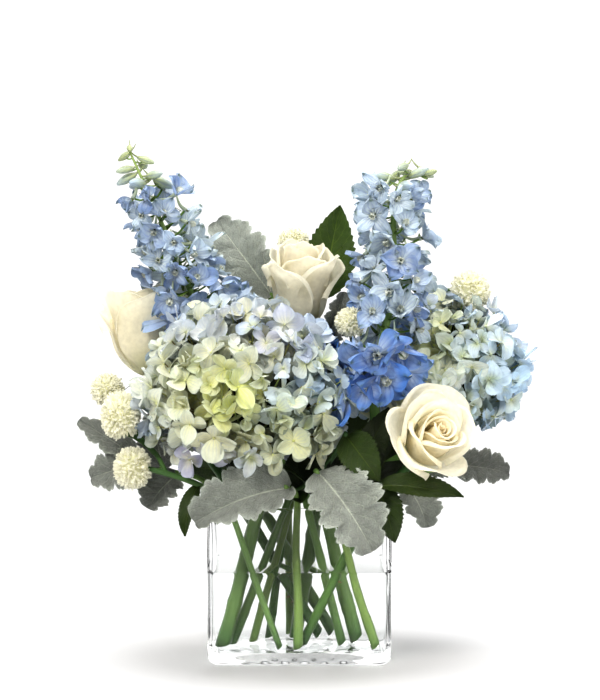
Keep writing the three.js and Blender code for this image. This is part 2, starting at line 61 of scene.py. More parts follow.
class Sheaf:
    """Grids of points, in millimetres, on their way to one mesh."""

    def __init__(self):
        self.points, self.faces, self.tints, self.marks, self.size = [], [], [], [], 0

    def add(self, grid, tint, across, along, luck=0.0, ring=False):
        """Take in one grid with its notes. In a ring, the last column joins the first."""
        rows, cols = grid.shape[:2]
        index = self.size + np.arange(rows * cols).reshape(rows, cols)
        if ring:
            index = np.hstack([index, index[:, :1]])
        quads = np.stack([index[:-1, :-1], index[:-1, 1:], index[1:, 1:], index[1:, :-1]], -1)
        self.points.append(grid.reshape(-1, 3))
        self.faces.append(quads.reshape(-1, 4))
        self.tints.append(np.broadcast_to(tint, (rows, cols, 3)).reshape(-1, 3))
        mark = np.stack(np.broadcast_arrays(across, along, np.full((rows, cols), luck)), -1)
        self.marks.append(mark.reshape(-1, 3))
        self.size += rows * cols


def make_piece(name, sheaf, material, node):
    """One mesh object from a sheaf: it rides with the vase and stands for the CAD node."""
    mesh = bpy.data.meshes.new(name)
    points = np.concatenate(sheaf.points) * MM
    assert np.isfinite(points).all(), name
    mesh.from_pydata(points.tolist(), [], np.concatenate(sheaf.faces).tolist())
    tint = mesh.attributes.new("tint", "FLOAT_COLOR", "POINT")
    colours = np.concatenate(sheaf.tints)
    tint.data.foreach_set("color", np.hstack([colours, np.ones((len(colours), 1))]).ravel())
    mark = mesh.attributes.new("mark", "FLOAT_VECTOR", "POINT")
    mark.data.foreach_set("vector", np.concatenate(sheaf.marks).ravel())
    mesh.polygons.foreach_set("use_smooth", [True] * len(mesh.polygons))
    mesh.materials.append(material)
    mesh.update()
    piece = bpy.data.objects.new(name, mesh)
    bpy.context.scene.collection.objects.link(piece)
    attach(piece, "root")
    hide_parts(node)
    print(f"{name}: {len(mesh.polygons)} faces")


# %% Turn and place a grid
GOLDEN_TURN = 2.39996  # radians from one petal or floret to the next, as plants set them


def unit(v):
    return np.asarray(v, float) / np.linalg.norm(v)


def mix(a, b, t):
    return a + (b - a) * t


def any_spin(rng):
    return rng.uniform(0, 6.28)


def axes_of(out, spin=0.0):
    """Rows x, y, z of a frame whose z points along `out`, turned about it by `spin`."""
    z = unit(out)
    helper = np.array([0, 0, 1.0]) if abs(z[2]) < 0.9 else np.array([1.0, 0, 0])
    a = unit(np.cross(helper, z))
    b = np.cross(z, a)
    return np.stack([math.cos(spin) * a + math.sin(spin) * b, math.cos(spin) * b - math.sin(spin) * a, z])


def put(grid, origin, axes):
    return grid @ axes + np.asarray(origin, float)


def turned(grid, angle, axis):
    """The grid turned about one of its own axes: 0 is x, 1 is y and 2 is z."""
    c, s = math.cos(angle), math.sin(angle)
    i, j = (axis + 1) % 3, (axis + 2) % 3
    out = grid.copy()
    out[..., i], out[..., j] = c * grid[..., i] - s * grid[..., j], s * grid[..., i] + c * grid[..., j]
    return out


def spread_on_ball(count):
    """Directions spread evenly over a ball, from the top down."""
    k = np.arange(count)
    z = 1 - (2 * k + 1) / count
    r = np.sqrt(1 - z * z)
    return np.stack([r * np.cos(k * GOLDEN_TURN), r * np.sin(k * GOLDEN_TURN), z], -1)


# %% [markdown]
# Two forms make up most of a flower. A petal is a narrow claw that widens and closes again, so two
# powers of its length draw its outline, and a cup, a fold and a ruffle bend it. A stalk is a row of rings
# along a smooth line. Blender's own curve bevel would make stalks too, but rings of points can swell,
# carry ribs and sit in the same mesh as the petals.


# %% A petal and a round stalk
def petal(length, width, rows=7, cols=5, claw=0.8, blunt=0.5, cup=0.1, fold=0.1, ruffle=0.0, turn=0.0):
    """A petal that starts at the origin and runs along y. Returns its grid, across and along.

    It widens from the origin as along to the power `claw` and closes at its tip as the power `blunt`.
    """
    along = np.sin(np.linspace(0, 1, rows) * np.pi / 2)[:, None] + np.zeros((1, cols))
    across = np.linspace(-1, 1, cols)[None, :] + np.zeros((rows, 1))
    t = np.clip(along, 0.02, 0.99)
    widest = claw / (claw + blunt)
    half = 0.5 * width * (t / widest) ** claw * ((1 - t) / (1 - widest)) ** blunt
    lift = cup * length * along**2 + fold * half * np.abs(across) ** 1.6
    lift = lift + ruffle * length * along**2 * np.sin(5 * across + turn)
    return np.stack([across * half, length * along, lift], -1), across, along


def in_ring(grid, k, count, away, lift, luck, rng):
    """Petal k of a ring, rolled, lifted and set round the middle, each with a little luck."""
    roll, rise, shift = luck
    grid = turned(grid, rng.normal(0, roll), 1) + np.array([0, away, 0.15 * k])
    grid = turned(grid, lift + rng.normal(0, rise), 0)
    return turned(grid, k * 2 * np.pi / count + rng.normal(0, shift), 2)


def smooth_line(points, steps=6, straight=False):
    """A centripetal Catmull-Rom curve through the points. Its first span can stay straight."""
    p = np.asarray(points, float)
    q = np.vstack([2 * p[0] - p[1], p, 2 * p[-1] - p[-2]])
    knot = np.cumsum([0, *np.linalg.norm(np.diff(q, axis=0), axis=1) ** 0.5])

    def between(a, b, j, k, t):
        return mix(a, b, (t - knot[j]) / (knot[k] - knot[j]))

    line = [q[1]]
    for i in range(1, len(q) - 2):
        if i == 1 and straight:
            line += [mix(q[1], q[2], s) for s in np.linspace(0, 1, 25)[1:]]
            continue
        for t in np.linspace(knot[i], knot[i + 1], steps + 1)[1:]:
            a, b, c = (between(q[j], q[j + 1], j, j + 1, t) for j in (i - 1, i, i + 1))
            d, e = between(a, b, i - 1, i + 1, t), between(b, c, i, i + 2, t)
            line.append(between(d, e, i, i + 1, t))
    return np.array(line)


def tube(line, radius, sides, ribs=0, rib_depth=0.0, slant=0.0):
    """A closed round stalk along a line. Returns its grid, across and along."""
    line = np.asarray(line, float)
    radius = np.broadcast_to(radius, len(line))
    ahead = np.gradient(line, axis=0)
    a = np.linspace(0, 2 * np.pi, sides, endpoint=False)[:, None]
    edge = 1 + rib_depth * np.cos(ribs * a)
    flat, rings = np.array([0.02, 1.0, 0.05]), []
    for k, (centre, way, r) in enumerate(zip(line, ahead, radius)):
        way = unit(way)
        flat = unit(flat - np.dot(flat, way) * way)
        ring = centre + r * edge * (np.cos(a) * flat + np.sin(a) * np.cross(way, flat))
        rings.append(ring + (slant * r * np.cos(a + 1) * way if k == 0 else 0))
    caps = [mix(rings[k].mean(0), rings[k], 0.03) for k in (0, -1)]
    grid = np.stack([caps[0], *rings, caps[1]])
    along = np.linspace(0, 1, len(grid))[:, None] + np.zeros((1, sides))
    across = np.linspace(-1, 1, sides)[None, :] + np.zeros((len(grid), 1))
    return grid, across, along


def lathe(heights, radii, sides, *ribs):
    """A closed round form about the z axis. Returns its grid, across and along."""
    return tube([[0, 0, z] for z in heights], radii, sides, *ribs)


def add_bead(sheaf, form, spot, axes, tint, luck):
    """A small round form of one colour, set at its spot."""
    grid, across, along = lathe(*form)
    sheaf.add(put(grid, spot, axes), tint, across, along, luck, ring=True)


def add_stalk(sheaf, line, radius, sides, tint, luck, *ribs):
    """A stalk of one colour, straight into a sheaf."""
    grid, across, along = tube(line, radius, sides, *ribs)
    sheaf.add(grid, tint, across, along, luck, ring=True)


def ball(count, reach, radius=1):
    """Heights and radii of a ball that a lathe can turn, cut off at a height of `reach`."""
    heights = np.linspace(-reach, reach, count)
    return heights, np.sqrt(radius**2 - heights**2)


print("A sample petal, mm:", np.ptp(petal(20, 16)[0].reshape(-1, 3), axis=0).round(1))

# %% [markdown]
# A plain product shot: large soft lights, and a long lens almost level with the flowers, which keeps the
# sides of the vase upright. The key light stands high on the left and is a little warm. The fill on the
# right, one light overhead and one behind soften its shadows and light the petals from the back.

# %% Camera and lights
SCENE = bpy.context.scene
SCENE.view_settings.view_transform = "Standard"
SCENE.view_settings.look = "Medium High Contrast"
CAMERA_PLACE, CAMERA_TARGET = (0.0005, -1.99239, 0.4286), (0.0005, 0, 0.2543)
BOUQUET_MIDDLE = (0, 0, 0.27)


def aimed(thing, place, target):
    """Stand a camera or a lamp at a place, in metres, and turn it toward its target."""
    thing.location = Vector(place)
    thing.rotation_euler = (Vector(target) - Vector(place)).to_track_quat("-Z", "Y").to_euler()
    SCENE.collection.objects.link(thing)
    return thing


def soft_light(name, place, target, size, watts, colour):
    lamp = bpy.data.lights.new(name, "AREA")
    lamp.shape, lamp.size, lamp.energy, lamp.color = "DISK", size, watts, colour
    aimed(bpy.data.objects.new(name, lamp), place, target)
    print(f"{name} light: {watts} W")


lens = bpy.data.cameras.new("camera")
lens.lens = 125
lens.sensor_width = 36
SCENE.camera = aimed(bpy.data.objects.new("camera", lens), CAMERA_PLACE, CAMERA_TARGET)
soft_light("key", (-0.8, -1.5, 1.5), BOUQUET_MIDDLE, 0.7, 29, (1, 0.965, 0.89))
soft_light("fill", (1.2, -1.4, 0.8), BOUQUET_MIDDLE, 1.1, 13, (1, 0.975, 0.93))
soft_light("top", (0.0, 0.05, 1.6), (0, 0, 0.2), 1.2, 23, (1, 0.975, 0.92))
soft_light("behind", (0.5, 1.7, 1.1), BOUQUET_MIDDLE, 1.0, 9, (1, 0.98, 0.94))

# %% [markdown]
# A material is a tree of shader nodes. Written out in full, each node takes several lines, so a small
# class keeps the material cells short: it adds a node and fills or links its inputs, does a sum, moves a
# value from one range to another and blends or shades a colour.


# %% Short ways to build shader nodes
class Tree:
    """A tree of shader nodes. An input takes a plain value, a socket, or a node's first output."""

    def __init__(self, tree):
        self.tree = tree

    def fill(self, socket, value):
        if isinstance(value, bpy.types.Node):
            value = value.outputs[0]
        if isinstance(value, bpy.types.NodeSocket):
            self.tree.links.new(value, socket)
        else:
            socket.default_value = value

    def add(self, kind, inputs=None, **settings):
        made = self.tree.nodes.new("ShaderNode" + kind)
        for key, value in settings.items():
            setattr(made, key, value)
        for key, value in (inputs or {}).items():
            self.fill(made.inputs[key], value)
        return made

    def calc(self, operation, *values):
        return self.add("Math", dict(enumerate(values)), operation=operation)

    def times(self, a, b):
        return self.calc("MULTIPLY", a, b)

    def remap(self, value, low, high, to_low=0.0, to_high=1.0, **how):
        return self.add("MapRange", {"Value": value, 1: low, 2: high, 3: to_low, 4: to_high}, **how)

    def blend(self, factor, a, b, how="MIX"):
        return self.add("Mix", {0: factor, 6: a, 7: b}, data_type="RGBA", blend_type=how).outputs[2]

    def shade(self, colour, value, *ranges):
        """The colour times a value that has been moved to another range."""
        return self.blend(1.0, colour, self.remap(value, *ranges), "MULTIPLY")

    def read(self, name, output):
        """A note that the points of a mesh carry."""
        return self.add("Attribute", attribute_name=name).outputs[output]

    def read_mark(self):
        """The across, along and luck of a petal, leaf or stalk."""
        return self.add("SeparateXYZ", {0: self.read("mark", "Vector")}).outputs

    def give(self, **outputs):
        """Close a node group: each value becomes an output of that name."""
        for label in outputs:
            self.tree.interface.new_socket(label, in_out="OUTPUT", socket_type="NodeSocketFloat")
        end = self.tree.nodes.new("NodeGroupOutput")
        for label, value in outputs.items():
            self.fill(end.inputs[label], value)
        return self.tree


def new_group(name, takes):
    """A node group with named inputs and their usual values. Returns it with what it takes."""
    group = bpy.data.node_groups.new(name, "ShaderNodeTree")
    for label, usual in takes.items():
        socket = group.interface.new_socket(label, in_out="INPUT", socket_type="NodeSocketFloat")
        socket.default_value = usual
    return Tree(group), group.nodes.new("NodeGroupInput").outputs


def new_material(name):
    material = bpy.data.materials.new(name)
    material.use_nodes = True
    material.node_tree.nodes.clear()
    return material, Tree(material.node_tree)


def paint(*rgb):
    return (*srgb(*rgb).tolist(), 1.0)


# %% [markdown]
# The photo's background is pure white with a soft shadow round the vase. A white room alone would leave
# clear glass without edges. So the world is white only for rays that reach the camera straight or
# through the glass, a grey that darkens below and in front for reflections, and an even pale grey for
# the light that falls on petals. The floor is a grey sheet that turns to glowing white away from the
# vase, so that only the shadow is left of it.

# %% World and floor
PURE_WHITE = (1, 1, 1, 1)


def seen_straight(tree):
    """1 for rays that the camera sees straight or through glass, and 0 for light on a surface."""
    rays = tree.add("LightPath").outputs
    bounces = tree.calc("MULTIPLY_ADD", rays["Diffuse Depth"], 9.0, rays["Glossy Depth"])
    early = tree.calc("LESS_THAN", bounces, 4.5)
    return tree.calc("MAXIMUM", rays["Is Camera Ray"], tree.times(rays["Is Transmission Ray"], early))


world = bpy.data.worlds.new("studio")
SCENE.world = world
world.use_nodes = True
world.node_tree.nodes.clear()
room = Tree(world.node_tree)
toward = room.add("SeparateXYZ", {0: room.add("TexCoord").outputs["Generated"]}).outputs
height, behind = room.remap(toward["Z"], -0.3, 0.7), room.remap(toward["Y"], -0.4, 0.3, 0.35)
mirrored = room.blend(height, (0.3, 0.31, 0.32, 1), (0.55, 0.58, 0.62, 1))
mirrored = room.blend(1.0, mirrored, behind, "MULTIPLY")
on_petals = room.add("LightPath").outputs["Is Diffuse Ray"]
grey = room.blend(on_petals, mirrored, (0.5, 0.5, 0.48, 1))
sky = room.add("Background", {0: room.blend(seen_straight(room), grey, PURE_WHITE), 1: 1.0})
room.add("OutputWorld", {0: sky})

floor_material, sheet = new_material("white_sweep")
spot_at = sheet.add("TexCoord").outputs["Object"]
oval = sheet.add(
    "VectorMath", {0: spot_at, 1: (1.0, 1.25, 1.0), 2: (0.0, 0.015, 0.0)}, operation="MULTIPLY_ADD")
far = sheet.add("VectorMath", {0: oval}, operation="LENGTH").outputs["Value"]
away = sheet.remap(far, 0.1, 0.24, interpolation_type="SMOOTHSTEP")
# The sheet is painted mid grey, far darker than a white floor. This is a painted shadow that deepens the real
# shadow round the vase, and it fades into glowing white farther out.
surface = sheet.add("BsdfPrincipled", {"Base Color": (0.56, 0.56, 0.58, 1), "Roughness": 0.6})
glow = sheet.add("Emission", {0: PURE_WHITE, 1: 1.0})
both = sheet.add("MixShader", {0: sheet.times(away, seen_straight(sheet)), 1: surface, 2: glow})
sheet.add("OutputMaterial", {0: both})
sweep = bpy.data.meshes.new("sweep")
sweep.from_pydata([(-4, -3, 0), (4, -3, 0), (4, 5, 0), (-4, 5, 0)], [], [(0, 1, 2, 3)])
sweep.materials.append(floor_material)
floor = bpy.data.objects.new("floor", sweep)
SCENE.collection.objects.link(floor)
print("Floor, m:", [round(side, 1) for side in floor.dimensions])

# %% [markdown]
# Petals and leaves share three effects. Petal veins fan out from the claw of a petal. Leaf veins are a
# midrib with side veins that run forward. Mottling is a fine unevenness that every living surface has.
# Each is a node group, so that one change reaches all flowers. The lines come from sums on "mark", which
# bends with its petal, where an image would need a laid-out copy of every petal.

# %% Petal veins
tree, takes = new_group("Petal veins", {"Count": 8.0})
across, along, luck = tree.read_mark()
drift = tree.add("CombineXYZ", {
    0: tree.times(across, 1.4), 1: tree.times(along, 3.0), 2: tree.times(luck, 60.0)})
wander = tree.add("TexNoise", {"Vector": drift, "Scale": 1.5, "Detail": 3.0})
bent = tree.calc("MULTIPLY_ADD", wander, 0.35, across)
crest = tree.calc("ABSOLUTE", tree.calc("SINE", tree.times(bent, takes["Count"])))
lines = tree.calc("POWER", crest, 7.0)
petal_veins = tree.give(
    Lines=tree.times(lines, tree.calc("SUBTRACT", 1.1, along)),
    Height=tree.calc("SUBTRACT", wander, tree.times(lines, 0.5)))

# %% Leaf veins
tree, takes = new_group("Leaf veins", {"Pairs": 7.0, "Lean": 0.35})
across, along, luck = tree.read_mark()
side = tree.calc("ABSOLUTE", across)
rib_width = tree.calc("MULTIPLY_ADD", along, -0.05, 0.07)
rib = tree.remap(side, rib_width, 0.0, interpolation_type="SMOOTHSTEP")
forward = tree.calc("SUBTRACT", along, tree.times(side, takes["Lean"]))
saw = tree.calc("PINGPONG", tree.times(forward, takes["Pairs"]), 0.5)
sides = tree.remap(saw, 0.06, 0.0)
net_at = tree.add("CombineXYZ", {0: across, 1: tree.times(along, 3.0), 2: luck})
net = tree.add("TexVoronoi", {"Vector": net_at, "Scale": 16.0}, feature="DISTANCE_TO_EDGE")
cells = tree.remap(net.outputs["Distance"], 0.0, 0.16)
ridges = tree.calc("MAXIMUM", rib, sides)
leaf_veins = tree.give(
    Rib=rib, Sides=sides, Height=tree.calc("SUBTRACT", tree.times(cells, 0.7), ridges))

# %% Mottling
tree, takes = new_group("Mottling", {"Scale": 300.0})
spot_at = tree.add("TexCoord").outputs["Object"]
fine_scale = tree.times(takes["Scale"], 6.0)
mottling = tree.give(
    Patches=tree.add("TexNoise", {"Vector": spot_at, "Scale": takes["Scale"], "Detail": 3.0}),
    Grain=tree.add("TexNoise", {"Vector": spot_at, "Scale": fine_scale, "Detail": 2.0}))
print("Node groups:", [group.name for group in bpy.data.node_groups])

# %% [markdown]
# A petal is soft and thin: light from behind shows through it. Subsurface scattering needs a closed body,
# so each petal's material mixes a satin surface with a translucent one instead, which suits a single
# sheet. The vein colour and the count of veins differ from flower to flower.


# %% Petal materials
def thin_skin(tree, colour, gloss, height, relief, depth, through, finish):
    """A satin surface, raised by `height`, that lets a share of the light `through`."""
    bump = tree.add("Bump", {"Height": height, "Strength": relief, "Distance": depth})
    front = tree.add("BsdfPrincipled", {"Base Color": colour, "Roughness": gloss, "Normal": bump, **finish})
    back = tree.add("BsdfTranslucent", {"Color": colour, "Normal": bump})
    both = tree.add("MixShader", {0: through, 1: front, 2: back})
    tree.add("OutputMaterial", {0: both})


def petal_material(name, vein, vein_amount, count, through, rough=0.5, relief=0.25):
    material, tree = new_material(name)
    veins = tree.add("Group", {"Count": count}, node_tree=petal_veins).outputs
    mottle = tree.add("Group", {"Scale": 260.0}, node_tree=mottling).outputs
    colour = tree.blend(tree.times(veins["Lines"], vein_amount), tree.read("tint", "Color"), vein)
    colour = tree.shade(colour, mottle["Patches"], 0.3, 0.7, 0.9, 1.04)
    gloss = tree.calc("MULTIPLY_ADD", mottle["Grain"], 0.2, rough - 0.1)
    satin = {"Specular IOR Level": 0.35, "Sheen Weight": 0.15}
    thin_skin(tree, colour, gloss, veins["Height"], relief, 0.4 * MM, through, satin)
    return material


hydrangea_petal = petal_material("hydrangea_petal", paint(0.5, 0.58, 0.78), 0.28, 9.0, 0.24)
delphinium_petal = petal_material("delphinium_petal", paint(0.33, 0.4, 0.74), 0.45, 8.0, 0.24, 0.42, 0.6)
rose_petal = petal_material("rose_petal", paint(0.96, 0.91, 0.79), 0.08, 22.0, 0.5, 0.6, 0.12)
pompon_petal = petal_material("pompon_petal", paint(0.9, 0.89, 0.72), 0.15, 3.0, 0.4, 0.6)

# %% [markdown]
# Rose leaves are dark, waxy and glossy, with pale veins. Dusty miller is covered in fine white hairs: a
# rough silver surface that brightens where it turns away, which is what sheen does. Stems are smooth
# with long faint streaks. Veins only lighten a leaf's own colour, so one material suits pale and dark
# leaves.


# %% Leaf and stem materials
def leaf_material(name, vein, vein_amount, rough, through, sheen, relief, grain):
    material, tree = new_material(name)
    tint = tree.read("tint", "Color")
    veins = tree.add("Group", node_tree=leaf_veins).outputs
    mottle = tree.add("Group", {"Scale": 150.0}, node_tree=mottling).outputs
    paler = tree.times(tree.calc("MAXIMUM", veins["Rib"], tree.times(veins["Sides"], 0.5)), vein_amount)
    colour = tree.blend(paler, tint, tree.blend(1.0, tint, vein, "MULTIPLY"))
    colour = tree.shade(colour, mottle["Patches"], 0.3, 0.7, 0.82, 1.12)
    colour = tree.shade(colour, mottle["Grain"], 0.4, 0.65, 1.0, 1 - grain)
    height = tree.calc("MULTIPLY_ADD", mottle["Grain"], grain * 2, veins["Height"])
    gloss = tree.calc("MULTIPLY_ADD", mottle["Patches"], 0.2, rough)
    wax = {"Specular IOR Level": 0.45, "Sheen Weight": sheen, "Sheen Roughness": 0.45}
    thin_skin(tree, colour, gloss, height, relief, 0.5 * MM, through, wax)
    return material


def stem_material(name):
    material, tree = new_material(name)
    across, along, luck = tree.read_mark()
    streak_at = tree.add("CombineXYZ", {0: tree.times(across, 6.0), 1: along, 2: luck})
    streak = tree.add("TexNoise", {"Vector": streak_at, "Scale": 3.0, "Detail": 4.0})
    mottle = tree.add("Group", node_tree=mottling).outputs
    skin = tree.add("BsdfPrincipled", {
        "Base Color": tree.shade(tree.read("tint", "Color"), streak, 0.3, 0.7, 0.75, 1.2),
        "Roughness": tree.calc("MULTIPLY_ADD", mottle["Patches"], 0.25, 0.28),
        "Specular IOR Level": 0.25,
        "Normal": tree.add("Bump", {"Height": streak, "Strength": 0.35, "Distance": 0.6 * MM})})
    tree.add("OutputMaterial", {0: skin})
    return material


green_leaf = leaf_material("green_leaf", (3.2, 2.6, 2.6, 1), 0.7, 0.22, 0.08, 0.0, 0.7, 0.06)
silver_leaf = leaf_material("silver_leaf", (2.2, 2.15, 2.05, 1), 0.95, 0.7, 0.06, 0.3, 1.3, 0.26)
stem_skin = stem_material("stem_skin")
print("Materials:", [m.name for m in bpy.data.materials if m.name.endswith(("petal", "leaf", "skin"))])

# %% [markdown]
# The vase is thick pressed glass with rounded corners and a rounded heel, hollow under its base. Its
# faces aren't dead flat: a shallow wave makes the stems look bent here and there. A lathe can't turn a
# rectangle, so rings of one rounded rectangle run up the outside, over the rim and down the inside.
# Glass stops light badly in a path tracer, so shadow rays pass straight through with a slight loss. Both
# indices are lower than those of real glass and water, because the true ones fill the vase with a haze.


# %% Glass, water and the vase's rings
def clear_material(name, ior, shade):
    material, tree = new_material(name)
    glass = tree.add("BsdfPrincipled", {
        "Base Color": shade, "Roughness": 0.0, "IOR": ior, "Transmission Weight": 1.0, "Metallic": 0.0})
    passing = tree.add("BsdfTransparent", {0: (0.955, 0.965, 0.965, 1)})
    shadow = tree.add("LightPath").outputs["Is Shadow Ray"]
    tree.add("OutputMaterial", {0: tree.add("MixShader", {0: shadow, 1: glass, 2: passing})})
    return material


WIDTH, DEPTH, TALL, WALL, BASE, CORNER, HEEL = 150, 100, 130, 5, 10, 10, 7
LIP = 2.2  # radius of the rounded rim
FLOOR_ROUND = 5  # radius between the inner wall and the inner floor
WAVE, OUTER_SEED, INNER_SEED = 0.45, 1.3, 4.1
LEVEL, MENISCUS, GAP = 76, 0.9, 0.05  # the water's height, its climb at the wall and its gap to the glass
quarter = np.linspace(0, np.pi / 2, 8)
print("Inside of the vase, mm:", WIDTH - 2 * WALL, DEPTH - 2 * WALL, TALL - BASE)


def vase_ring(inset, z):
    """A rounded rectangle at height z, `inset` inside the outer wall."""
    w, d = WIDTH / 2 - inset, DEPTH / 2 - inset
    r = max(CORNER - inset, 4)
    ring, corners = [], [(1, 1), (-1, 1), (-1, -1), (1, -1)]
    for k, (sx, sy) in enumerate(corners):
        a = (k + np.linspace(0, 1, 9)) * np.pi / 2
        ring += list(np.stack([sx * (w - r) + r * np.cos(a), sy * (d - r) + r * np.sin(a)], -1))
        nx, ny = corners[(k + 1) % 4]
        b = (k + 1) * np.pi / 2
        end = np.array([nx * (w - r) + r * np.cos(b), ny * (d - r) + r * np.sin(b)])
        ring += [mix(ring[-1], end, s) for s in np.linspace(0, 1, (29, 19)[k % 2])[1:-1]]
    flat = np.array(ring)
    return np.hstack([flat, np.full((len(flat), 1), z)])


def rings(steps, seed):
    """Rings of the vase at (inset, height) steps, with their sides pushed in by a shallow wave."""
    grid = np.stack([vase_ring(inset, z) for inset, z in steps])
    x, y, z = grid[..., 0], grid[..., 1], grid[..., 2]
    wave = np.sin(x / 17 + z / 23 + seed) * np.sin(z / 14 - x / 29 + 2 * seed)
    wave = wave + 0.6 * np.sin(y / 9 + z / 11 + seed)
    wave = wave + 0.8 * np.sin(x / 2.2 + seed) * np.exp(-(((np.abs(x) - 62) / 9) ** 2))
    flat = grid[..., :2] / np.maximum(np.linalg.norm(grid[..., :2], axis=-1, keepdims=True), 1)
    grid[..., :2] -= flat * (WAVE * (1 + wave) / 2)[..., None]
    return grid


def inner_floor(z, rim_ring, shares):
    """Rings from the rim of the floor to its middle: a low dome with small ripples."""
    s = np.array(shares)[:, None, None]
    dome = mix(np.array([0, 0, z]), rim_ring[None], s)
    ripple = 0.3 * np.sin(dome[..., 0] / 2.6) * np.sin(dome[..., 1] / 3.4 + 1) * (1 - s[..., 0] ** 6)
    dome[..., 2] += 2.5 * (1 - s[..., 0] ** 2) + ripple
    return dome


def clear_piece(name, loop, material, node):
    """A closed body of glass or water from one loop of rings."""
    sheaf, blank = Sheaf(), np.zeros(loop.shape[:2])
    sheaf.add(loop, (1, 1, 1), blank, blank, ring=True)
    make_piece(name, sheaf, material, node)


# %% The glass vase
outside = [(HEEL * (1 - math.sin(a)), HEEL * 1.2 * (1 - math.cos(a))) for a in quarter]
outside += [(0, z) for z in np.linspace(HEEL * 1.2, TALL - LIP, 40)[1:]]
inside = [(LIP * (1 - math.cos(a)), TALL - LIP + LIP * math.sin(a)) for a in quarter[1:]]
inside += [(WALL - LIP * (1 - math.sin(a)), TALL - LIP + LIP * math.cos(a)) for a in quarter]
inside += [(WALL, z) for z in np.linspace(TALL - LIP, BASE + FLOOR_ROUND, 40)[1:]]
inside += [(WALL + FLOOR_ROUND * (1 - math.cos(a)), BASE + FLOOR_ROUND * (1 - math.sin(a)))
           for a in quarter[1:]]
foot = vase_ring(HEEL + 1.5, 0)
HOLLOW = [(0.02, 3.2), (0.3, 3.1), (0.6, 2.8), (0.78, 2.2), (0.88, 1.2), (0.94, 0.3), (1.0, 0.0)]
under = np.stack([foot * s + np.array([0, 0, z]) for s, z in HOLLOW])
inner = rings(inside, INNER_SEED)
top = inner_floor(BASE, inner[-1], np.linspace(1, 0.02, 26))
shell = np.concatenate([under, rings(outside, OUTER_SEED), inner[:-1], top])
clear_piece("vase_glass", shell, clear_material("vase_glass", 1.22, (0.99, 0.997, 0.995, 1)), "vase")

# %% [markdown]
# Water fills the vase to just under its middle and climbs a little where it meets the glass. Its sides
# and ground repeat the inner wall and the rippled inner floor a hair's breadth inside. Where the two
# shapes crossed, light would be trapped between them and mirror the stems.

# %% Water
pool = [(WALL - GAP + FLOOR_ROUND * (1 - math.sin(a)), BASE - GAP + FLOOR_ROUND * (1 - math.cos(a)))
        for a in quarter]
pool += [(WALL - GAP, z) for z in np.linspace(BASE + FLOOR_ROUND, LEVEL + MENISCUS, 24)[1:]]
pool += [(WALL - GAP + 4.0 * s, LEVEL + MENISCUS * (1 - s) ** 3) for s in np.linspace(0, 1, 6)[1:]]
pool = rings(pool, INNER_SEED)
surface = np.stack([mix(np.array([[0, 0, LEVEL]]), pool[-1], s) for s in (0.75, 0.5, 0.25, 0.02)])
surface[..., 2] += 0.18 * np.sin(surface[..., 0] / 9) * np.cos(surface[..., 1] / 7)
ground = inner_floor(BASE - GAP, pool[0], np.linspace(0.02, 0.96, 25))
fill = np.concatenate([ground, pool, surface])
clear_piece("water", fill, clear_material("vase_water", 1.15, (0.99, 0.998, 0.995, 1)), "water")

# %% [markdown]
# Cut stems: straight in the vase, then bent to the side as they leave it. Each is a round tube with
# faint ribs, a slanted cut at the bottom, and swellings where a leaf was stripped off. Rose stems also
# carry a few thorns. The lines are those of the solids, as points from the cut end upward with the
# radius at both ends, and each stem sways a little about its line.

# %% Stems
STEMS = {  # the radius at its foot and at its top, then the points of its line
    "hydrangea_left_stem": (5.5, 5, (-62, -23, 15), (-32, -23, 131), (-38, -31, 152), (-41, -34, 176)),
    "hydrangea_right_stem": (5, 5, (-3, 19, 15), (17, 19, 131), (50, 29, 150), (84, 39, 168), (104, 44, 186)),
    "delphinium_left_stem": (
        4.5, 4, (27, 29, 17), (-39, 29, 131), (-53, 36, 180), (-69, 33, 232), (-76, 25, 262)),
    "delphinium_right_stem": (5.5, 4.5, (47, -1, 16), (18, -1, 131), (42, -12, 160), (62, -28, 192)),
    "rose_right_stem": (3.5, 3.5, (2, -24, 15), (60, -24, 131), (78, -31, 150), (95, -43, 173)),
    "rose_centre_stem": (3.3, 3.3, (-25, 19, 14), (-9, 19, 131), (-9, 32, 180), (-3, 31, 230), (1, 15, 267)),
    "rose_left_stem": (4, 3.5, (16, 9, 18), (-53, 9, 131), (-84, 26, 172), (-112, 25, 205), (-125, 21, 228)),
    "pompon_left_stem": (
        2.5, 2.2, (-16, -34, 14), (-58, -34, 131), (-82, -37, 148), (-108, -40, 158), (-127, -40, 162)),
    "pompon_back_stem": (2.8, 2.2, (46, 38, 14), (18, 38, 131), (28, 56, 180), (14, 68, 260), (-4, 70, 332)),
    "pompon_centre_stem": (
        3.6, 2.2, (35, -12, 14), (5, -12, 131), (21, 6, 170), (37, 9, 215), (45, -10, 250), (42, -32, 272)),
    "dusty_miller_back": (
        3.2, 2.2, (-8, 38, 14), (-9, 38, 131), (-20, 50, 200), (-24, 60, 272), (-24, 61, 302)),
    "dusty_miller_centre": (
        3.2, 2, (-38, -1, 14), (-6, -1, 131), (6, 15, 170), (21, 22, 215), (27, 6, 244), (22, -15, 264)),
    "dusty_miller_front_left": (3.7, 2, (-1, -34, 14), (-2, -34, 128), (-5, -46, 144), (-12, -60, 149)),
    "dusty_miller_front_right": (3.7, 2, (62, -34, 15), (27, -34, 128), (22, -48, 148), (13, -64, 163)),
    "greenery_front": (
        3.7, 2, (-55, -12, 14), (-9, -12, 131), (13, -29, 152), (30, -44, 176), (38, -50, 192)),
    "dusty_miller_left": (
        2.5, 1.8, (-66.5, -8, 112), (-68.1, -8, 132.5), (-80, -4, 147), (-104, 3, 153), (-130, 5, 162)),
    "dusty_miller_right": (
        2.5, 1.8, (66.5, 2, 112), (68.1, 2, 132.5), (81, 0, 147), (104, -5, 154), (130, -8, 160)),
}
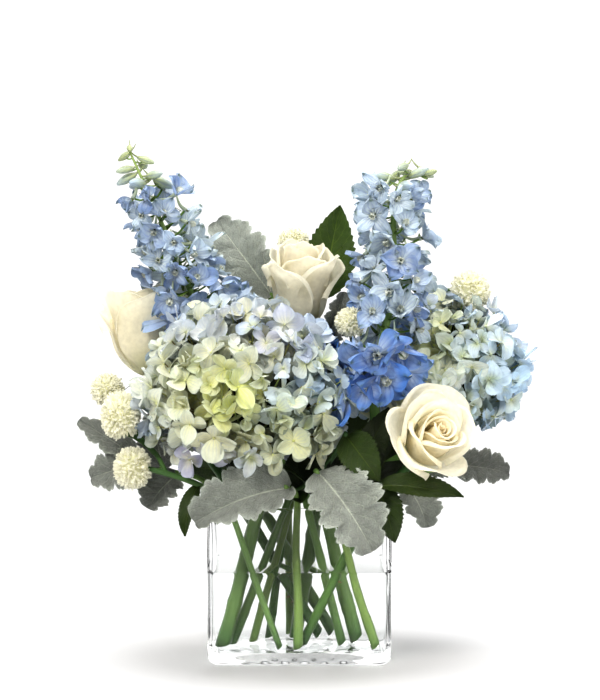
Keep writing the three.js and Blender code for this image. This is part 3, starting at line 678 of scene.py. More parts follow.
BRANCHES = {  # the radius, then the points
    "rose_right_stem": [(1.4, (74, -29, 146), (72, -50, 155), (64, -71, 153))],
    "rose_centre_stem": [(1.4, (-3, 31, 232), (8, 45, 262), (19, 55, 295))],
    "pompon_left_stem": [
        (2, (-108, -40, 158), (-118, -22, 172), (-133, -21, 184), (-143, -33, 190)),
        (1.8, (-118, -23, 171), (-138, -12, 192), (-155, -6, 211))],
    "pompon_back_stem": [(2.2, (28, 58, 188), (44, 76, 238), (70, 86, 273), (104, 82, 294), (133, 60, 300))],
}
BRIGHT_GREEN, DEEP_GREEN = srgb(0.42, 0.54, 0.31), srgb(0.21, 0.34, 0.19)
SILVER_GREEN, ROSE_GREEN, THORN = srgb(0.46, 0.56, 0.3), srgb(0.3, 0.43, 0.2), srgb(0.5, 0.4, 0.25)


def add_stem(sheaf, name, rng):
    r0, r1, *line = STEMS[name]
    path = smooth_line(line, straight=True)
    along = np.linspace(0, 1, len(path))
    joints = rng.uniform(0.06, 0.5, 3)
    swell = sum(0.13 * np.exp(-(((along - j) / 0.012) ** 2)) for j in joints)
    radius = mix(r0, r1, along) * (1.06 + swell + 0.03 * np.sin(along * 40 + rng.uniform(0, 6)))
    sway = np.sin(along * np.pi * 3 + rng.uniform(0, 6)) * np.sin(np.pi * along)
    path = path + sway[:, None] * rng.normal(0, 0.5, 3)
    grid, across, up = tube(path, radius, 18, int(rng.integers(5, 8)), 0.035, 0.55)
    body, foot = (ROSE_GREEN if name.startswith("rose") else BRIGHT_GREEN), DEEP_GREEN
    if name.startswith("dusty"):
        body, foot = SILVER_GREEN, BRIGHT_GREEN
    body = body * rng.uniform(0.6, 1.1)
    # Each stem is darker at its cut foot. Above the rim it turns mostly to the deep green, which is painted
    # shade under the flowers.
    tint = mix(foot, body, np.clip(up * 6, 0.35, 1)[..., None])
    tint = mix(tint, foot, np.clip(grid[..., 2] / 40 - 3.1, 0, 0.8)[..., None])
    sheaf.add(grid, tint, across, up, rng.random(), ring=True)
    if name.startswith("rose"):
        for j in rng.uniform(0.1, 0.9, 7):
            k = int(j * (len(path) - 2)) + 1
            a = rng.uniform(0, 2 * np.pi)
            out = unit([math.cos(a), math.sin(a), -0.4])
            thorn = path[k] + np.array([[0.7], [1.3], [1.9]]) * radius[k] * out
            add_stalk(sheaf, thorn, [1.3, 0.7, 0.1], 6, THORN, 0.3)
    for r, *line in BRANCHES.get(name, []):
        add_stalk(sheaf, smooth_line(line), r, 12, mix(body, foot, 0.7), rng.random(), 5, 0.03)


# %% [markdown]
# A leaf follows its midrib from leaf stalk to tip. The margin tells the kinds apart: rose leaves have
# many small teeth that point forward, and dusty miller has deep round lobes with shallow scallops on
# them. A leaf could be cut out of a flat image, but a grid whose edge follows a formula keeps a true
# outline from every side. Both kinds fold a little along the midrib, quilt between their veins and wave
# slowly, and dusty miller has white felt hairs at its margin.

# %% Leaves
LOBES = 4.5


def toothed_margin(t, seed):
    bite = (t * 15 + seed) % 1.0
    return np.sin(np.pi * t**0.75) ** 0.8 * (1 - 0.13 * (1 - bite) * np.sin(np.pi * t) ** 0.3)


def lobed_margin(t, seed):
    body = np.sin(np.pi * np.clip(t, 0, 1) ** 0.9) ** 0.45
    lobe = np.abs(np.sin(np.pi * LOBES * t**0.9 + seed)) ** 0.6
    scallop = np.abs(np.sin(np.pi * LOBES * 2.5 * t + 2.1 * seed)) ** 0.6
    return body * (0.56 + 0.32 * lobe + 0.12 * scallop) + 0.1 * np.exp(-(((t - 1) / 0.05) ** 2))


def add_felt(sheaf, grid, rng, count=800):
    """Fine white hairs, most of them at the margin of a leaf."""
    rows, cols = grid.shape[:2]
    for _ in range(count):
        i, j = rng.integers(2, rows - 2), rng.choice([0, 1, cols - 2, cols - 1, rng.integers(2, cols - 2)])
        root = grid[i, j]
        off = unit(root - grid[i, cols // 2] + rng.normal(0, 2, 3))
        tip = root + off * rng.uniform(0.5, 1.3) + rng.normal(0, 0.3, 3)
        wide = unit(grid[i + 1, j] - root + 1e-6) * 0.07
        hair = np.array([[root - wide, root + wide], [tip - wide * 0.2, tip + wide * 0.2]])
        sheaf.add(hair, WHITE_FELT, 0.5, 0.5, rng.random())


def add_leaf(sheaf, base, tip, face, width, lobed, rng, bow=0.12, cup=0.25, wave=0.07, dark=1.0):
    """A leaf from base to tip. Its top looks to `face`, and `width` is that of one half."""
    a, b, up = np.array(base, float), np.array(tip, float), unit(face)
    length = np.linalg.norm(b - a)
    mid = (a + b) / 2 + up * 2 * bow * length
    rows, cols, skew = (110, 23, 0.28) if lobed else (96, 17, 0.1)
    t = np.linspace(0, 1, rows)[:, None]
    rib = (1 - t) ** 2 * a + 2 * t * (1 - t) * mid + t**2 * b
    along = (1 - t) * (mid - a) + t * (b - mid)
    along /= np.linalg.norm(along, axis=1, keepdims=True)
    side = np.cross(along, up)
    side /= np.linalg.norm(side, axis=1, keepdims=True)
    over = np.cross(side, along)
    s = np.linspace(-1, 1, cols)
    grid = np.zeros((rows, cols, 3))
    seeds, turn = rng.uniform(0, 3, 2), rng.uniform(0, 6)
    for j, u in enumerate(s):
        own = seeds[int(u > 0)]
        margin = lobed_margin(t, own * 0.2) if lobed else toothed_margin(t, own)
        half = np.maximum(width * margin, 1.0)
        ripple = wave * width * np.sin(7 * t + 2.5 * u + turn) * abs(u) ** 1.5
        quilt = np.abs(np.sin(np.pi * (7 * t - 2.2 * abs(u)))) * abs(u) * (1.1 - abs(u))
        outward = np.clip(t - 0.1 * abs(u), 0, 1)
        billow = lobed * np.abs(np.sin(np.pi * LOBES * outward**0.9 + own * 0.2))
        ripple = ripple + (0.07 * quilt + 0.13 * billow * abs(u) ** 1.5) * width * np.sin(np.pi * t)
        crease = 0.04 * width * (1 - np.exp(-abs(u) * 9)) + cup * half * abs(u) ** 1.4
        drift = along * (skew * half * abs(u) ** 1.5 * np.sin(np.pi * t) * (1 - t))
        grid[:, j] = rib + side * (u * half) + over * (crease + ripple) + drift
    if lobed:
        add_felt(sheaf, grid, rng)
    across, up_leaf = s[None, :] + np.zeros((rows, cols)), t + np.zeros((rows, cols))
    # Lobed leaves grow paler at the margin. This is partly their whiter felt and partly a painted highlight
    # where the hairy edge catches light. `dark` scales the whole leaf's colour.
    shade = dark * (0.85 + 0.2 * rng.random() + 0.8 * np.abs(across) ** 8 * lobed)
    tint = LEAF_SILVER if lobed else LEAF_GREEN
    sheaf.add(grid, tint * shade[..., None], across, up_leaf, rng.random())


# %% Where the leaves grow
LEAVES = {  # base, tip, where the top looks, half width, and what differs from the usual leaf
    "dusty_miller_back": [
        ((-24, 60, 296), (-70, 58, 358), (0, -1, 0.2), 25, {"dark": 1.12}),
        ((-11, 42, 148), (-44, 92, 128), (0, 0.7, 0.8), 20, {}),
        ((-21, 51, 206), (-66, 92, 196), (0, 0.8, 0.6), 20, {}),
        ((-24, 60, 270), (18, 96, 306), (0, 1, 0.3), 20, {})],
    "dusty_miller_centre": [
        ((22, -15, 262), (36, -23, 304), (0.45, -0.85, 0.2), 15, {"cup": 0.5, "bow": 0.04, "dark": 0.6})],
    "dusty_miller_front_left": [
        ((-8, -57, 148), (-83, -82, 124), (0, -0.8, 0.6), 27, {"dark": 0.84, "cup": 0.4, "wave": 0.15})],
    "dusty_miller_front_right": [((15, -61, 161), (58, -88, 102), (0.1, -0.85, 0.5), 31, {"wave": 0.12})],
    "dusty_miller_left": [
        ((-100, 2, 152), (-124, -22, 126), (-0.3, -0.9, 0.3), 19, {"dark": 0.68}),
        ((-128, 5, 161), (-172, -2, 148), (0, -1, 0.3), 19, {"dark": 0.78}),
        ((-113, 4, 156), (-122, 4, 202), (0, -1, 0), 17, {"dark": 0.6}),
        ((-128, 5, 161), (-182, 2, 196), (0, -1, 0.2), 12, {"dark": 0.85})],
    "dusty_miller_right": [
        ((84, -1, 147), (104, -34, 112), (0.3, -0.8, 0.5), 20, {}),
        ((126, -8, 160), (172, -14, 154), (0, -0.9, 0.4), 16, {"dark": 0.45}),
        ((108, -5, 155), (140, 30, 140), (0.3, 0.6, 0.7), 16, {})],
    "rose_right_stem": [
        ((64, -70, 152), (130, -84, 144), (0, -0.6, 0.8), 14, {"bow": 0.06, "dark": 0.85}),
        ((63, -66, 152), (76, -76, 107), (0.1, -1, 0.1), 14, {"dark": 0.75})],
    "rose_centre_stem": [((19, 55, 293), (34, 51, 372), (0, -1, 0.1), 23, {"bow": -0.04, "dark": 1.6})],
    "delphinium_left_stem": [
        ((-53, 36, 180), (-118, 68, 212), (0, 0.8, 0.5), 20, {}),
        ((-44, 33, 148), (-92, 50, 150), (0, -1, 0.2), 18, {})],
    "pompon_left_stem": [((-82, -37, 148), (-92, -52, 108), (-0.5, -0.8, 0.1), 9, {})],
    "pompon_back_stem": [
        ((102, 82, 293), (98, 40, 306), (0, -0.4, 0.9), 9, {}),
        ((25, 51, 160), (72, 64, 196), (0, -1, 0.2), 21, {}),
        ((22, 49, 150), (-14, 74, 188), (0, -1, 0.2), 19, {"bow": 0.0})],
    "hydrangea_right_stem": [
        ((46, 28, 148), (76, 92, 122), (0.1, 0.6, 0.8), 24, {}),
        ((80, 38, 166), (150, 84, 158), (0.1, 0.5, -0.9), 22, {})],
    "greenery_front": [
        ((37, -49, 190), (64, -74, 156), (-0.25, -0.9, 0.45), 17, {"bow": 0.08}),
        ((6, -23, 145), (-24, -54, 164), (0, -0.5, 0.9), 8, {}),
        # The leaves at about 0.4 sit deep under the flowers. Their darkness is painted shade that fills the
        # gap there.
        ((8, -15, 138), (26, -40, 172), (0, -0.8, 0.6), 13, {"dark": 0.45}),
        ((-12, -14, 138), (-34, -40, 170), (0, -0.8, 0.6), 13, {"dark": 0.42}),
        ((0, -8, 136), (-2, -36, 178), (0, -0.8, 0.6), 14, {"dark": 0.42}),
        ((20, 2, 138), (52, -28, 178), (0, -0.8, 0.6), 15, {"dark": 0.42}),
        ((-26, -4, 138), (-64, -24, 166), (0, -0.8, 0.6), 14, {"dark": 0.42}),
        ((-2, -26, 140), (2, -47, 134), (0, -0.9, 0.4), 9, {"dark": 0.7}),
        ((46, -40, 158), (72, -48, 212), (0, -1, 0.1), 14, {"dark": 0.4}),
        ((62, -20, 150), (92, -30, 206), (0, -1, 0.2), 17, {"dark": 0.4}),
        ((54, -14, 146), (110, -24, 166), (0, -1, 0.4), 14, {"dark": 0.5})],
}
LEAF_GREEN, LEAF_SILVER, WHITE_FELT = srgb(0.2, 0.275, 0.09), srgb(0.62, 0.645, 0.615), srgb(0.85, 0.87, 0.85)
print("Leaves:", sum(len(rows) for rows in LEAVES.values()), "on", len(LEAVES), "stems")

# %% Build stems and leaves
for order, name in enumerate(STEMS):
    rng = np.random.default_rng(100 + order)
    stem, leaves, lobed = Sheaf(), Sheaf(), name.startswith("dusty")
    add_stem(stem, name, rng)
    make_piece(name if name.endswith("stem") else name + "_stalk", stem, stem_skin, name)
    for base, tip, face, width, how in LEAVES.get(name, []):
        add_leaf(leaves, base, tip, face, width, lobed, rng, **how)
    if leaves.size:
        make_piece(name + "_leaves", leaves, silver_leaf if lobed else green_leaf, name)

# %% [markdown]
# A garden rose opens from a tight spiral. Petals stand round the axis at the golden angle. The inner
# ones are tall, narrow and wrap far round. The outer ones are lower and wider, and their rims roll back
# over the edge. Copies of one petal would look like a toy rose, so each petal is worked out from its age:
# the lists below give heights, widths and leans from the heart to the last petal. Cream petals are
# warmer in the heart, where light bounces between them.

# %% Roses
ROSES = {
    "rose_right": {"base": (95, -44, 175), "axis": (0.3, -0.85, 0.44), "spin": 1.5, "scale": 1.0, "seed": 3,
                   "heights": [56, 59, 57, 52, 45], "bellies": [0.9, 7.5, 12.5, 17, 21],
                   "leans": [-0.4, -0.15, 0.05, 0.42, 0.82], "glow": 1.0},
    "rose_centre": {"base": (1, 13, 268), "axis": (0.03, -0.16, 1), "spin": 0.2, "scale": 0.9, "seed": 8,
                    "heights": [80, 79, 74, 68, 58], "bellies": [0.9, 10, 15.5, 18.5, 20.5],
                    "leans": [-0.4, -0.09, 0.1, 0.36, 0.7], "glow": 0.87},
    "rose_left": {"base": (-125, 21, 229), "axis": (-0.12, 0.2, 1), "spin": 1.1, "scale": 1.02, "seed": 5,
                  "heights": [66, 66, 64, 61, 55], "bellies": [0.9, 10.8, 16.5, 20.5, 23.5],
                  "leans": [-0.4, 0.0, 0.22, 0.45, 0.7], "glow": 1.0},
}
AGES = [0, 0.35, 0.6, 0.8, 1]
ROSE_PETALS = 20
HIP = ((-9, -7, -4, -1.5, 0.5), [3.2, 5, 6.2, 5.6, 3], 16)  # heights, radii and sides
LIP_FROM = 0.78  # share of a petal's length where its rim starts to roll
CREAM, PEACH, OLIVE = srgb(0.985, 0.968, 0.898), srgb(0.99, 0.94, 0.83), srgb(0.88, 0.9, 0.72)


def rose(sheaf, base, axis, spin, scale, seed, heights, bellies, leans, glow):
    """Petals from the tight heart outwards. The lists give values at AGES."""
    rng = np.random.default_rng(seed)
    axes = axes_of(axis, spin)
    v = np.linspace(0, 1, 26)[:, None]
    u = np.linspace(-1, 1, 25)[None, :]
    body, lip = np.clip(v / LIP_FROM, 0, 1), np.clip((v - LIP_FROM) / (1 - LIP_FROM), 0, 1)
    for k in range(ROSE_PETALS):
        t = k / (ROSE_PETALS - 1)
        belly = np.interp(t, AGES, bellies)
        height = np.interp(t, AGES, heights) + rng.normal(0, 1.8)
        spread = mix(2.6, 1.2, t**0.5) * rng.uniform(0.9, 1.08)
        lean = np.interp(t, AGES, leans) * rng.uniform(0.85, 1.15)
        roll = mix(0.5, 3.2, t**0.8) * rng.uniform(0.7, 1.3)
        turn_over = mix(0.9, 2.0, t**0.5) * rng.uniform(0.75, 1.15)
        start = k * GOLDEN_TURN + rng.normal(0, 0.3)
        rounded = 1 - mix(0.12, 0.42, t**0.7) * np.abs(u) ** 4 + mix(0, 0.09, t) * np.exp(-((u / 0.2) ** 2))
        level = body * rounded
        bulge = np.sin(np.pi / 2 * np.clip(level * mix(1.5, 2.1, t), 0, 1)) ** 0.7
        radius = mix(0.7, 2.6, t) + belly * bulge
        radius = radius + lean * belly * np.clip((level - 0.3) / 0.7, 0, 1) ** mix(1.5, 2.3, t)
        radius = radius + u * mix(0.6, 2.0, t) * np.clip(level * 2, 0, 1)
        curve = turn_over * lip * (1 + t * (1.3 * np.abs(u - 0.12) ** 0.9 - 0.5))
        radius = radius + roll * (1 - np.cos(curve)) + 1.3 * (0.25 + t) * np.sin(2.7 * u + 2.1 * k) * level**2
        z = 1.5 + height * level + roll * np.sin(curve)
        edge = np.clip((np.abs(u) - 0.65) / 0.35, 0, 1) ** 1.6
        radius = radius + edge * mix(0.1, 1.6, t) * np.clip(body * 1.5 - 0.3, 0, 1)
        angle = start + u * spread * np.clip(0.45 + 0.75 * body**0.6, 0, 1.05) * (1 - 0.1 * lip)
        grid = np.stack([radius * np.cos(angle), radius * np.sin(angle), z], -1) * scale
        warm = np.clip(1.1 - 1.4 * t, 0, 1) * np.clip(1.1 - v * 0.7, 0, 1)
        # `glow` scales the cream of a rose. The centre rose's 0.87 is painted shade that tones down the
        # strong light it gets from above.
        tint = mix(CREAM, PEACH, (warm + 0 * u)[..., None] * 0.85) * glow
        tint = mix(tint, OLIVE, (np.clip(0.35 - v, 0, 1) * 1.8 * t + 0 * u)[..., None])
        sheaf.add(put(grid, base, axes), tint, u + 0 * v, v + 0 * u, rng.random())


def calyx(sheaf, base, axis, spin, rng):
    """Five narrow sepals bent back under a rose, and the round hip they grow from."""
    axes = axes_of(axis, spin)
    add_bead(sheaf, HIP, base, axes, ROSE_GREEN * 0.9, 0.1)
    for k in range(5):
        grid, s, t = petal(24, 6, 12, claw=0.5, blunt=1.1, cup=rng.uniform(-0.35, 0.1), fold=0.25)
        grid = turned(grid + np.array([0, 4.5, -1.0]), rng.uniform(-0.35, 0.25), 0)
        grid = turned(grid, k * 2 * np.pi / 5 + spin, 2)
        sheaf.add(put(grid, base, axes), ROSE_GREEN * rng.uniform(0.75, 1.0), s, t, rng.random())


for name, how in ROSES.items():
    bloom, sepals = Sheaf(), Sheaf()
    rose(bloom, **how)
    make_piece(name + "_bloom", bloom, rose_petal, name + "_bloom")
    calyx(sepals, how["base"], how["axis"], how["spin"], np.random.default_rng(how["seed"]))
    make_piece(name + "_calyx", sepals, green_leaf, name + "_stem")

# %% [markdown]
# A button mum is a ball of hundreds of short quilled florets. Each is a strap rolled at its sides with
# a scooped tip. They point outwards and overlap like tiles. Points spread evenly over a ball, with a
# little luck, set them as closely as the plant does. A plain core keeps light from showing between them.

# %% Button mums
BUTTONS = {  # middle, radii, and the end of the stalk
    "pompon_left_upper": ((-145, -35, 204), (15.5, 15.5, 19), (-143, -33, 190)),
    "pompon_left_lower": ((-135, -40, 162), (15, 15, 16.5), (-127, -40, 162)),
    "pompon_left_back": ((-158, -5, 222), (13, 13, 13), (-155, -6, 211)),
    "pompon_back_right": ((144, 50, 300), (16, 16, 17), (133, 60, 300)),
    "pompon_back_top": ((-5, 70, 340), (13, 13, 12), (-4, 70, 332)),
    "pompon_centre": ((41, -35, 280), (12, 12, 11.5), (42, -32, 272)),
}
BUTTER, LIME = srgb(0.99, 0.985, 0.93), srgb(0.97, 0.97, 0.84)
STRAPS, STRAP_WIDTH, CORE = 620, 3.2, 0.86


def button(sheaf, centre, size, stalk_end, rng):
    centre, size = np.array(centre, float), np.array(size, float)
    foot = unit(np.array(stalk_end, float) - centre + 1e-6)
    for way in spread_on_ball(STRAPS):
        if np.dot(way, foot) > 0.93:
            continue
        way = unit(way + rng.normal(0, 0.05, 3))
        full = np.linalg.norm(size * way) * (1.08 + rng.normal(0, 0.04))
        length = full * 0.45
        grid, s, t = petal(length, STRAP_WIDTH * rng.uniform(0.85, 1.15), claw=0.4, blunt=0.4, fold=0.45)
        hook = rng.uniform(0.1, 0.45) * t**2 * length * 0.5
        height = full - length + grid[..., 1] - hook * 0.4
        strap = np.stack([grid[..., 0], hook + 0.8 * np.abs(s) ** 2, height], -1)
        shade = mix(LIME, BUTTER, np.clip(t * 1.6, 0, 1)[..., None]) * rng.uniform(0.94, 1.06)
        sheaf.add(put(strap, centre, axes_of(way, any_spin(rng))), shade, s, t, rng.random())
    core, s, t = lathe(*ball(9, 0.85, CORE), 16)
    sheaf.add(core * size + centre, LIME, s, t, 0.5, ring=True)


for order, (name, (centre, size, stalk_end)) in enumerate(BUTTONS.items()):
    flower = Sheaf()
    button(flower, centre, size, stalk_end, np.random.default_rng(300 + order))
    make_piece(name, flower, pompon_petal, name)

# %% [markdown]
# Hydrangea mop heads. What look like petals are four round sepals round a tiny bead. Over a hundred of
# these florets cover the head, each on its own thin stalk. A second layer, darker with painted shade, fills
# the gaps behind them, and a ball painted dark as shade stops the light deep inside. The colour drifts over
# the head from pale blue to cream green, so it is worked out from where each floret sits: a base colour, a
# few soft blushes, and painted shade on the underside of each head and the top of the left one.

# %% Mop heads
HEADS = {
    "hydrangea_left": {"centre": (-41, -35, 225), "size": (84, 63, 76), "count": 285, "foot": -0.72,
                       "seed": 14, "dent": (0.5, 0.1, 0.85), "deep": 15},
    "hydrangea_right": {"centre": (117, 44, 232), "size": (71, 57, 67), "count": 225, "foot": -0.6,
                        "seed": 24, "dent": (-0.6, -0.5, 0.6), "deep": 8},
}
ICE, SKY, LILAC = srgb(0.87, 0.92, 0.93), srgb(0.7, 0.81, 0.93), srgb(0.83, 0.81, 0.91)
CREAM_GREEN, LEMON_GREEN, WHITE = srgb(0.95, 0.94, 0.72), srgb(0.84, 0.86, 0.44), srgb(0.965, 0.97, 0.91)
BRIGHT_SKY, PAINTED_INNER_SHADE = srgb(0.8, 0.9, 0.98), srgb(0.16, 0.2, 0.12)
TWIG_GREEN, TWIG_BROWN = srgb(0.5, 0.58, 0.32), srgb(0.55, 0.5, 0.36)
BLUSHES = {  # the way to its middle, its radius, its colour and how strong it is
    "hydrangea_left": [
        ((-0.35, -0.9, -0.15), 0.85, CREAM_GREEN, 1.0), ((-0.25, -0.95, 0.12), 0.48, LEMON_GREEN, 1.0),
        ((0.45, -0.8, -0.4), 0.26, LEMON_GREEN, 0.7), ((-0.45, -0.5, -0.75), 0.4, LILAC, 0.8),
        ((0.6, -0.75, 0.0), 0.4, SKY, 0.8), ((0.1, -0.7, 0.7), 0.5, LILAC, 0.6),
        ((-0.2, -0.6, 0.8), 0.5, WHITE, 0.35), ((0.75, -0.5, -0.45), 0.4, CREAM_GREEN, 0.5),
        ((-0.9, -0.35, 0.1), 0.5, WHITE, 0.9)],
    "hydrangea_right": [
        ((-0.35, -0.85, 0.15), 0.7, CREAM_GREEN, 0.95), ((0.0, -0.95, 0.0), 0.5, WHITE, 0.8),
        ((-0.1, -0.9, 0.45), 0.25, LEMON_GREEN, 0.6), ((0.8, -0.5, -0.25), 0.8, BRIGHT_SKY, 0.95),
        ((0.6, -0.3, 0.6), 0.5, ICE, 0.6)],
}
# Each layer gives its share of florets, depth, floret size and colour factor. The inner layer's darker factor
# is painted shade.
LAYERS = [(1.0, 3.5, 1.0, 1.0), (0.75, 14, 0.95, np.array([0.5, 0.49, 0.36]))]
FLORET = 13.8  # length of one hydrangea sepal
BEAD = ((0, 0.7, 1.5, 2.1), [0.7, 1.35, 1.15, 0.3], 7)


def head_colour(name, way, rng):
    colour = mix(mix(ICE, SKY, rng.uniform(0, 1.0)), LILAC, rng.uniform(0, 0.5))
    colour = mix(colour, CREAM_GREEN, 0.7 * (rng.random() < 0.3))
    for spot, radius, blush, amount in BLUSHES[name]:
        near = np.exp(-((np.linalg.norm(way - unit(spot)) / radius) ** 2)) * amount
        colour = mix(colour, blush, min(1.0, near * rng.uniform(0.35, 1.5)))
    # The underside of each head, and the top of the left head, are painted darker. This is painted shade.
    painted_shade = 0.3 * max(0, -way[2]) + (0.16 * max(0, way[2]) if name == "hydrangea_left" else 0)
    return colour * rng.uniform(0.88, 1.05) * (1 - painted_shade)


def mop_floret(sheaf, spot, axes, size, colour, heart, rng):
    lift = rng.uniform(-0.2, 0.7)
    for k in range(4):
        length, width = size * rng.uniform(0.82, 1.15), size * rng.uniform(0.82, 1.2)
        grid, s, t = petal(
            length, width, 8, 7, claw=rng.uniform(0.6, 0.85), blunt=rng.uniform(0.45, 0.7),
            cup=rng.uniform(-0.6, 0.6), fold=rng.uniform(-0.4, 0.9), ruffle=0.08, turn=rng.uniform(0, 6))
        grid = in_ring(grid, k, 4, 0.8, lift, (0.35, 0.35, 0.09), rng)
        own = mix(colour, SKY, rng.uniform(0, 0.15)) * rng.uniform(0.94, 1.08)
        shade = mix(heart, own, np.clip(t * 1.9, 0, 1)[..., None])
        rim = np.maximum(np.abs(s) ** 5, t**6) * 0.4
        shade = mix(shade, mix(own, SKY, 0.5) * 0.9, rim[..., None])
        sheaf.add(put(grid, spot, axes), shade, s, t, rng.random())
    add_bead(sheaf, BEAD, spot, axes, mix(colour, LEMON_GREEN, 0.5), 0.5)


def mop_head(name, centre, size, count, foot, seed, dent, deep):
    """Two layers of florets over an oval, pressed in by `deep` at the dent and open below `foot`."""
    rng = np.random.default_rng(seed)
    centre, size = np.array(centre, float), np.array(size, float)
    petals, stalks = Sheaf(), Sheaf()
    hub = centre + np.array([0, 0, foot * size[2] * 0.9])
    for share, depth, big, painted_layer_shade in LAYERS:
        for way in spread_on_ball(int(count * share)):
            if way[2] < foot:
                continue
            way = unit(way + rng.normal(0, 0.05, 3))
            out = unit(way / size)
            pressed = deep * np.exp(-((np.linalg.norm(way - unit(dent)) / 0.5) ** 2))
            spot = centre + way * size - out * (depth + pressed + rng.uniform(-4, 9))
            lean = unit(out + rng.normal(0, 0.45, 3))
            colour = head_colour(name, way, rng) * painted_layer_shade
            heart = mix(colour, LEMON_GREEN if rng.random() < 0.3 else CREAM_GREEN, 0.6)
            axes = axes_of(lean, any_spin(rng))
            mop_floret(petals, spot, axes, FLORET * big * rng.uniform(0.65, 1.25), colour, heart, rng)
            elbow = mix(hub, spot, 0.72) - out * 3
            bends = [hub + rng.normal(0, 2, 3), mix(hub, elbow, 0.55) + rng.normal(0, 2, 3), elbow]
            line = smooth_line([*bends, spot - lean * 0.5], 3)
            twig = mix(TWIG_GREEN, TWIG_BROWN, rng.random())
            add_stalk(stalks, line, np.linspace(1.3, 0.55, len(line)), 5, twig, rng.random())
    # The ball deep inside the head stands for the dense branching. Its nearly black colour is painted shade.
    heart, s, t = lathe(*ball(15, 0.98), 28)
    stalks.add(heart * (size - 27) + centre, PAINTED_INNER_SHADE, s, t, 0.5, ring=True)
    make_piece(name + "_head", petals, hydrangea_petal, name + "_head")
    make_piece(name + "_pedicels", stalks, stem_skin, name + "_head")


for name, how in HEADS.items():
    mop_head(name, **how)

# %% [markdown]
# Delphinium. Each floret has five coloured sepals, a spur that runs back behind it, and a pale tuft
# called the bee in its middle. The tips of the sepals carry a small green spot. Florets sit on thin
# stalks in a spiral, wide open low down and still green buds at the tip. One floret copied along the
# stalk would line up, so each is built afresh with its own petals, tilt and size.

# %% Delphinium spikes
SPIKES = {
    "delphinium_left": {
        "line": [(-76, 25, 258), (-84, 22, 285), (-100, 20, 325), (-120, 20, 372), (-140, 20, 417)],
        "r": 3.4, "count": 46, "reach": (40, 15), "open_to": 0.8, "seed": 2},
    "delphinium_right": {
        "line": [(62, -28, 188), (61, -33, 222), (65, -31, 254), (73, -22, 290), (77, -14, 322),
                 (77, -4, 366), (81, 0, 388), (91, 0, 400), (104, 0, 395)],
        "r": 4.6, "count": 54, "reach": (34, 17), "open_to": 0.7, "seed": 5},
}
PERIWINKLE, PALE_BLUE, DEEP_BLUE = srgb(0.58, 0.68, 0.86), srgb(0.84, 0.9, 0.93), srgb(0.31, 0.54, 0.88)
VIOLET_BLUE, BUD_GREEN, MOSS = srgb(0.42, 0.46, 0.73), srgb(0.72, 0.76, 0.55), srgb(0.36, 0.45, 0.2)
PALE_HEART, BEE_WHITE, EYE_GREEN = srgb(0.9, 0.94, 0.95), srgb(0.93, 0.94, 0.88), srgb(0.36, 0.4, 0.24)
STALK_LOW, STALK_HIGH = srgb(0.34, 0.48, 0.24), srgb(0.6, 0.68, 0.42)
FLORET_TWIG, BUD_TWIG = srgb(0.36, 0.48, 0.22), srgb(0.5, 0.6, 0.36)
ROSE_RIGHT_MIDDLE = np.array(ROSES["rose_right"]["base"]) + 26 * unit(ROSES["rose_right"]["axis"])
CLEAR_OF_ROSE = 50  # florets nearer than this to the middle of the right rose are left out
OPEN_FROM = 0.1  # where the lowest floret sits, as a share of the stalk
BUDS = 10
BUD_SIZE = np.array([3.5, 3.5, 8.6])
EYE = ((0, 1.5, 3.2, 4.2), [1.4, 1.5, 1.1, 0.3], 6)


def spur_floret(petals, greens, hub, spot, look, size, colour, open_up, rng):
    """A floret at `spot` that looks away from the spike, with its spur, stalk and two bracts."""
    axes = axes_of(look, any_spin(rng))
    for k in range(5):
        length, width = size * rng.uniform(0.8, 1.15), size * rng.uniform(0.6, 1.05)
        grid, s, t = petal(
            length, width, 11, 9, claw=0.85, blunt=rng.uniform(0.5, 0.85), cup=rng.uniform(-0.4, 0.6),
            fold=rng.uniform(-0.4, 0.9), ruffle=0.13, turn=rng.uniform(0, 6))
        grid = in_ring(grid, k, 5, 1.0, mix(1.25, 0.5, open_up), (0.25, 0.22, 0.08), rng)
        own = mix(colour, PALE_BLUE, rng.uniform(0, 0.4)) * rng.uniform(0.66, 1.0)
        pale = mix(own, PALE_HEART, 0.8)
        shade = mix(pale, own, np.clip(t * 1.5 - 0.1 + 0.45 * np.abs(s) ** 2, 0, 1)[..., None])
        green_spot = np.exp(-((s / 0.4) ** 2) - ((t - 0.93) / 0.08) ** 2) * 0.85
        shade = mix(shade, MOSS * 0.8, green_spot[..., None])
        petals.add(put(grid, spot, axes), shade, s, t, rng.random())
    for k in range(4):
        grid, s, t = petal(size * 0.42, size * 0.36, 6, cup=0.5, ruffle=0.12, turn=k)
        grid = turned(turned(grid, 0.9, 0), k * np.pi / 2 + 0.4, 2)
        petals.add(put(grid, spot + look * 0.8, axes), BEE_WHITE, s, t, rng.random())
    add_bead(greens, EYE, spot, axes, EYE_GREEN, 0.2)
    up = unit(np.array([0, 0, 1.0]) - look * look[2] + 1e-3)
    bend, end = spot - look * size * 0.45 + up * 1.5, spot - look * size * 0.9 + up * size * 0.45
    spur = smooth_line([spot, bend, end], 4)
    add_stalk(petals, spur, np.linspace(2.0, 0.6, len(spur)), 7, mix(colour, BUD_GREEN, 0.75), 0.7)
    drop = (hub + spot) / 2 - np.array([0, 0, 2.5])
    add_stalk(greens, smooth_line([hub, drop, spot - look * 0.3], 4), 0.9, 6, FLORET_TWIG, rng.random())
    for place in (0.3, 0.9):
        bract, s, t = petal(size * 0.8, 3.4, claw=0.4, blunt=0.9, cup=0.3)
        greens.add(put(bract, mix(hub, spot, place), axes_of(up, any_spin(rng))), MOSS, s, t, rng.random())


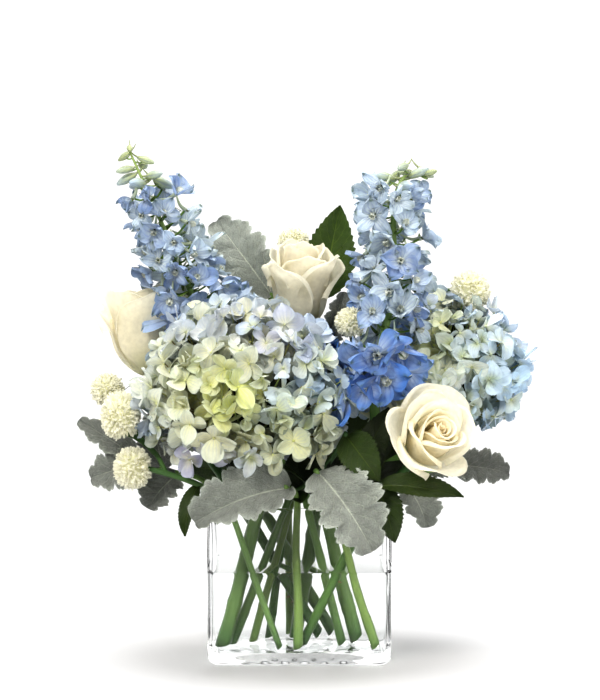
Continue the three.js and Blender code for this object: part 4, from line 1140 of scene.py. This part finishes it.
def bud(petals, greens, hub, around, young, rng):
    """A closed ribbed bud with a hooked spur, on a thin stalk. `young` is 1 at the tip of the spike."""
    side = unit(np.array([math.cos(around), 0.5 * math.sin(around), rng.uniform(-0.1, 0.5)]))
    spot = hub + side * mix(18, 7, young)
    way = unit(side + np.array([0, 0, rng.uniform(-0.8, 0.1)]))
    swell = np.sin(np.linspace(0.2, 3.0, 11)) ** 0.7
    grid, s, t = lathe(np.linspace(-1, 1, 11), swell, 12, 5, 0.06)
    size = BUD_SIZE * mix(1.25, 0.75, young)
    blue = np.clip(1.3 * t - 0.2, 0, 1)[..., None] * (1 - young)
    tint = mix(BUD_GREEN, mix(PALE_BLUE, PERIWINKLE, 0.5), blue)
    petals.add(put(grid * size, spot, axes_of(way)), tint, s, t, rng.random(), ring=True)
    back = [(0.6, 0), (1.4, 1.2), (1.9, 3.6)]
    tail = smooth_line([spot - way * size[2] * far + np.array([0, 0, rise]) for far, rise in back], 4)
    add_stalk(petals, tail, np.linspace(1.5, 0.4, len(tail)) * mix(1, 0.6, young), 7, BUD_GREEN * 0.9, 0.6)
    drop = mix(hub, spot, 0.5) - np.array([0, 0, 1.5])
    add_stalk(greens, smooth_line([hub, drop, spot], 4), 0.7, 6, BUD_TWIG, 0.5)


def spike(name, line, r, count, reach, open_to, seed):
    """Florets in a spiral up the stalk, then buds. The right spike has a deep blue group low down."""
    rng = np.random.default_rng(seed)
    petals, greens = Sheaf(), Sheaf()
    path = smooth_line(line, 16)
    stalk, s, t = tube(path, np.linspace(r, 0.9, len(path)), 14, 6, 0.06)
    greens.add(stalk, mix(STALK_LOW, STALK_HIGH, t[..., None]), s, t, 0.4, ring=True)
    ahead = np.gradient(path, axis=0)
    right = name.endswith("right")
    for k in range(count):
        t = mix(OPEN_FROM, open_to, (k / (count - 1)) ** 0.95)
        i = int(t * (len(path) - 1))
        hub, up = path[i], unit(ahead[i])
        a = k * GOLDEN_TURN + seed
        side = np.array([math.cos(a), math.sin(a), 0])
        side = unit(side - np.dot(side, up) * up)
        far = mix(reach[0], reach[1], t) * rng.uniform(0.6, 1.08)
        low = right and t < 0.3
        if low:
            side = unit(side + np.array([-0.25, -0.6, 0]))
        spot = hub + side * far + up * far * (-0.1 if low else 0.25)
        if np.linalg.norm(spot - ROSE_RIGHT_MIDDLE) < CLEAR_OF_ROSE:
            continue
        look = unit(side + up * rng.uniform(-0.7, 0.5) + np.array([0, -0.35, 0]) + rng.normal(0, 0.3, 3))
        size = mix(20, 13, t) * rng.uniform(0.8, 1.15) * (1.2 if low else 1.0)
        lowest, late = (DEEP_BLUE, 1.6) if right else (VIOLET_BLUE, 0)
        blue = mix(lowest, PERIWINKLE, np.clip(t * 6 - late, 0, 1))
        pale = np.clip(rng.uniform(-0.3, 1.0) + 0.3 * t - (0.6 if low else 0), 0, 0.95)
        open_up = np.clip(1.25 - 0.75 * t, 0.3, 1)
        spur_floret(petals, greens, hub, spot, look, size, mix(blue, PALE_BLUE, pale), open_up, rng)
    for k in range(BUDS):
        young = k / (BUDS - 1)
        hub = path[int(mix(open_to, 1, young) * (len(path) - 1))]
        bud(petals, greens, hub, k * GOLDEN_TURN + seed, young, rng)
    make_piece(name + "_spike", petals, delphinium_petal, name + "_spike")
    make_piece(name + "_stalklets", greens, stem_skin, name + "_spike")


for name, how in SPIKES.items():
    spike(name, **how)
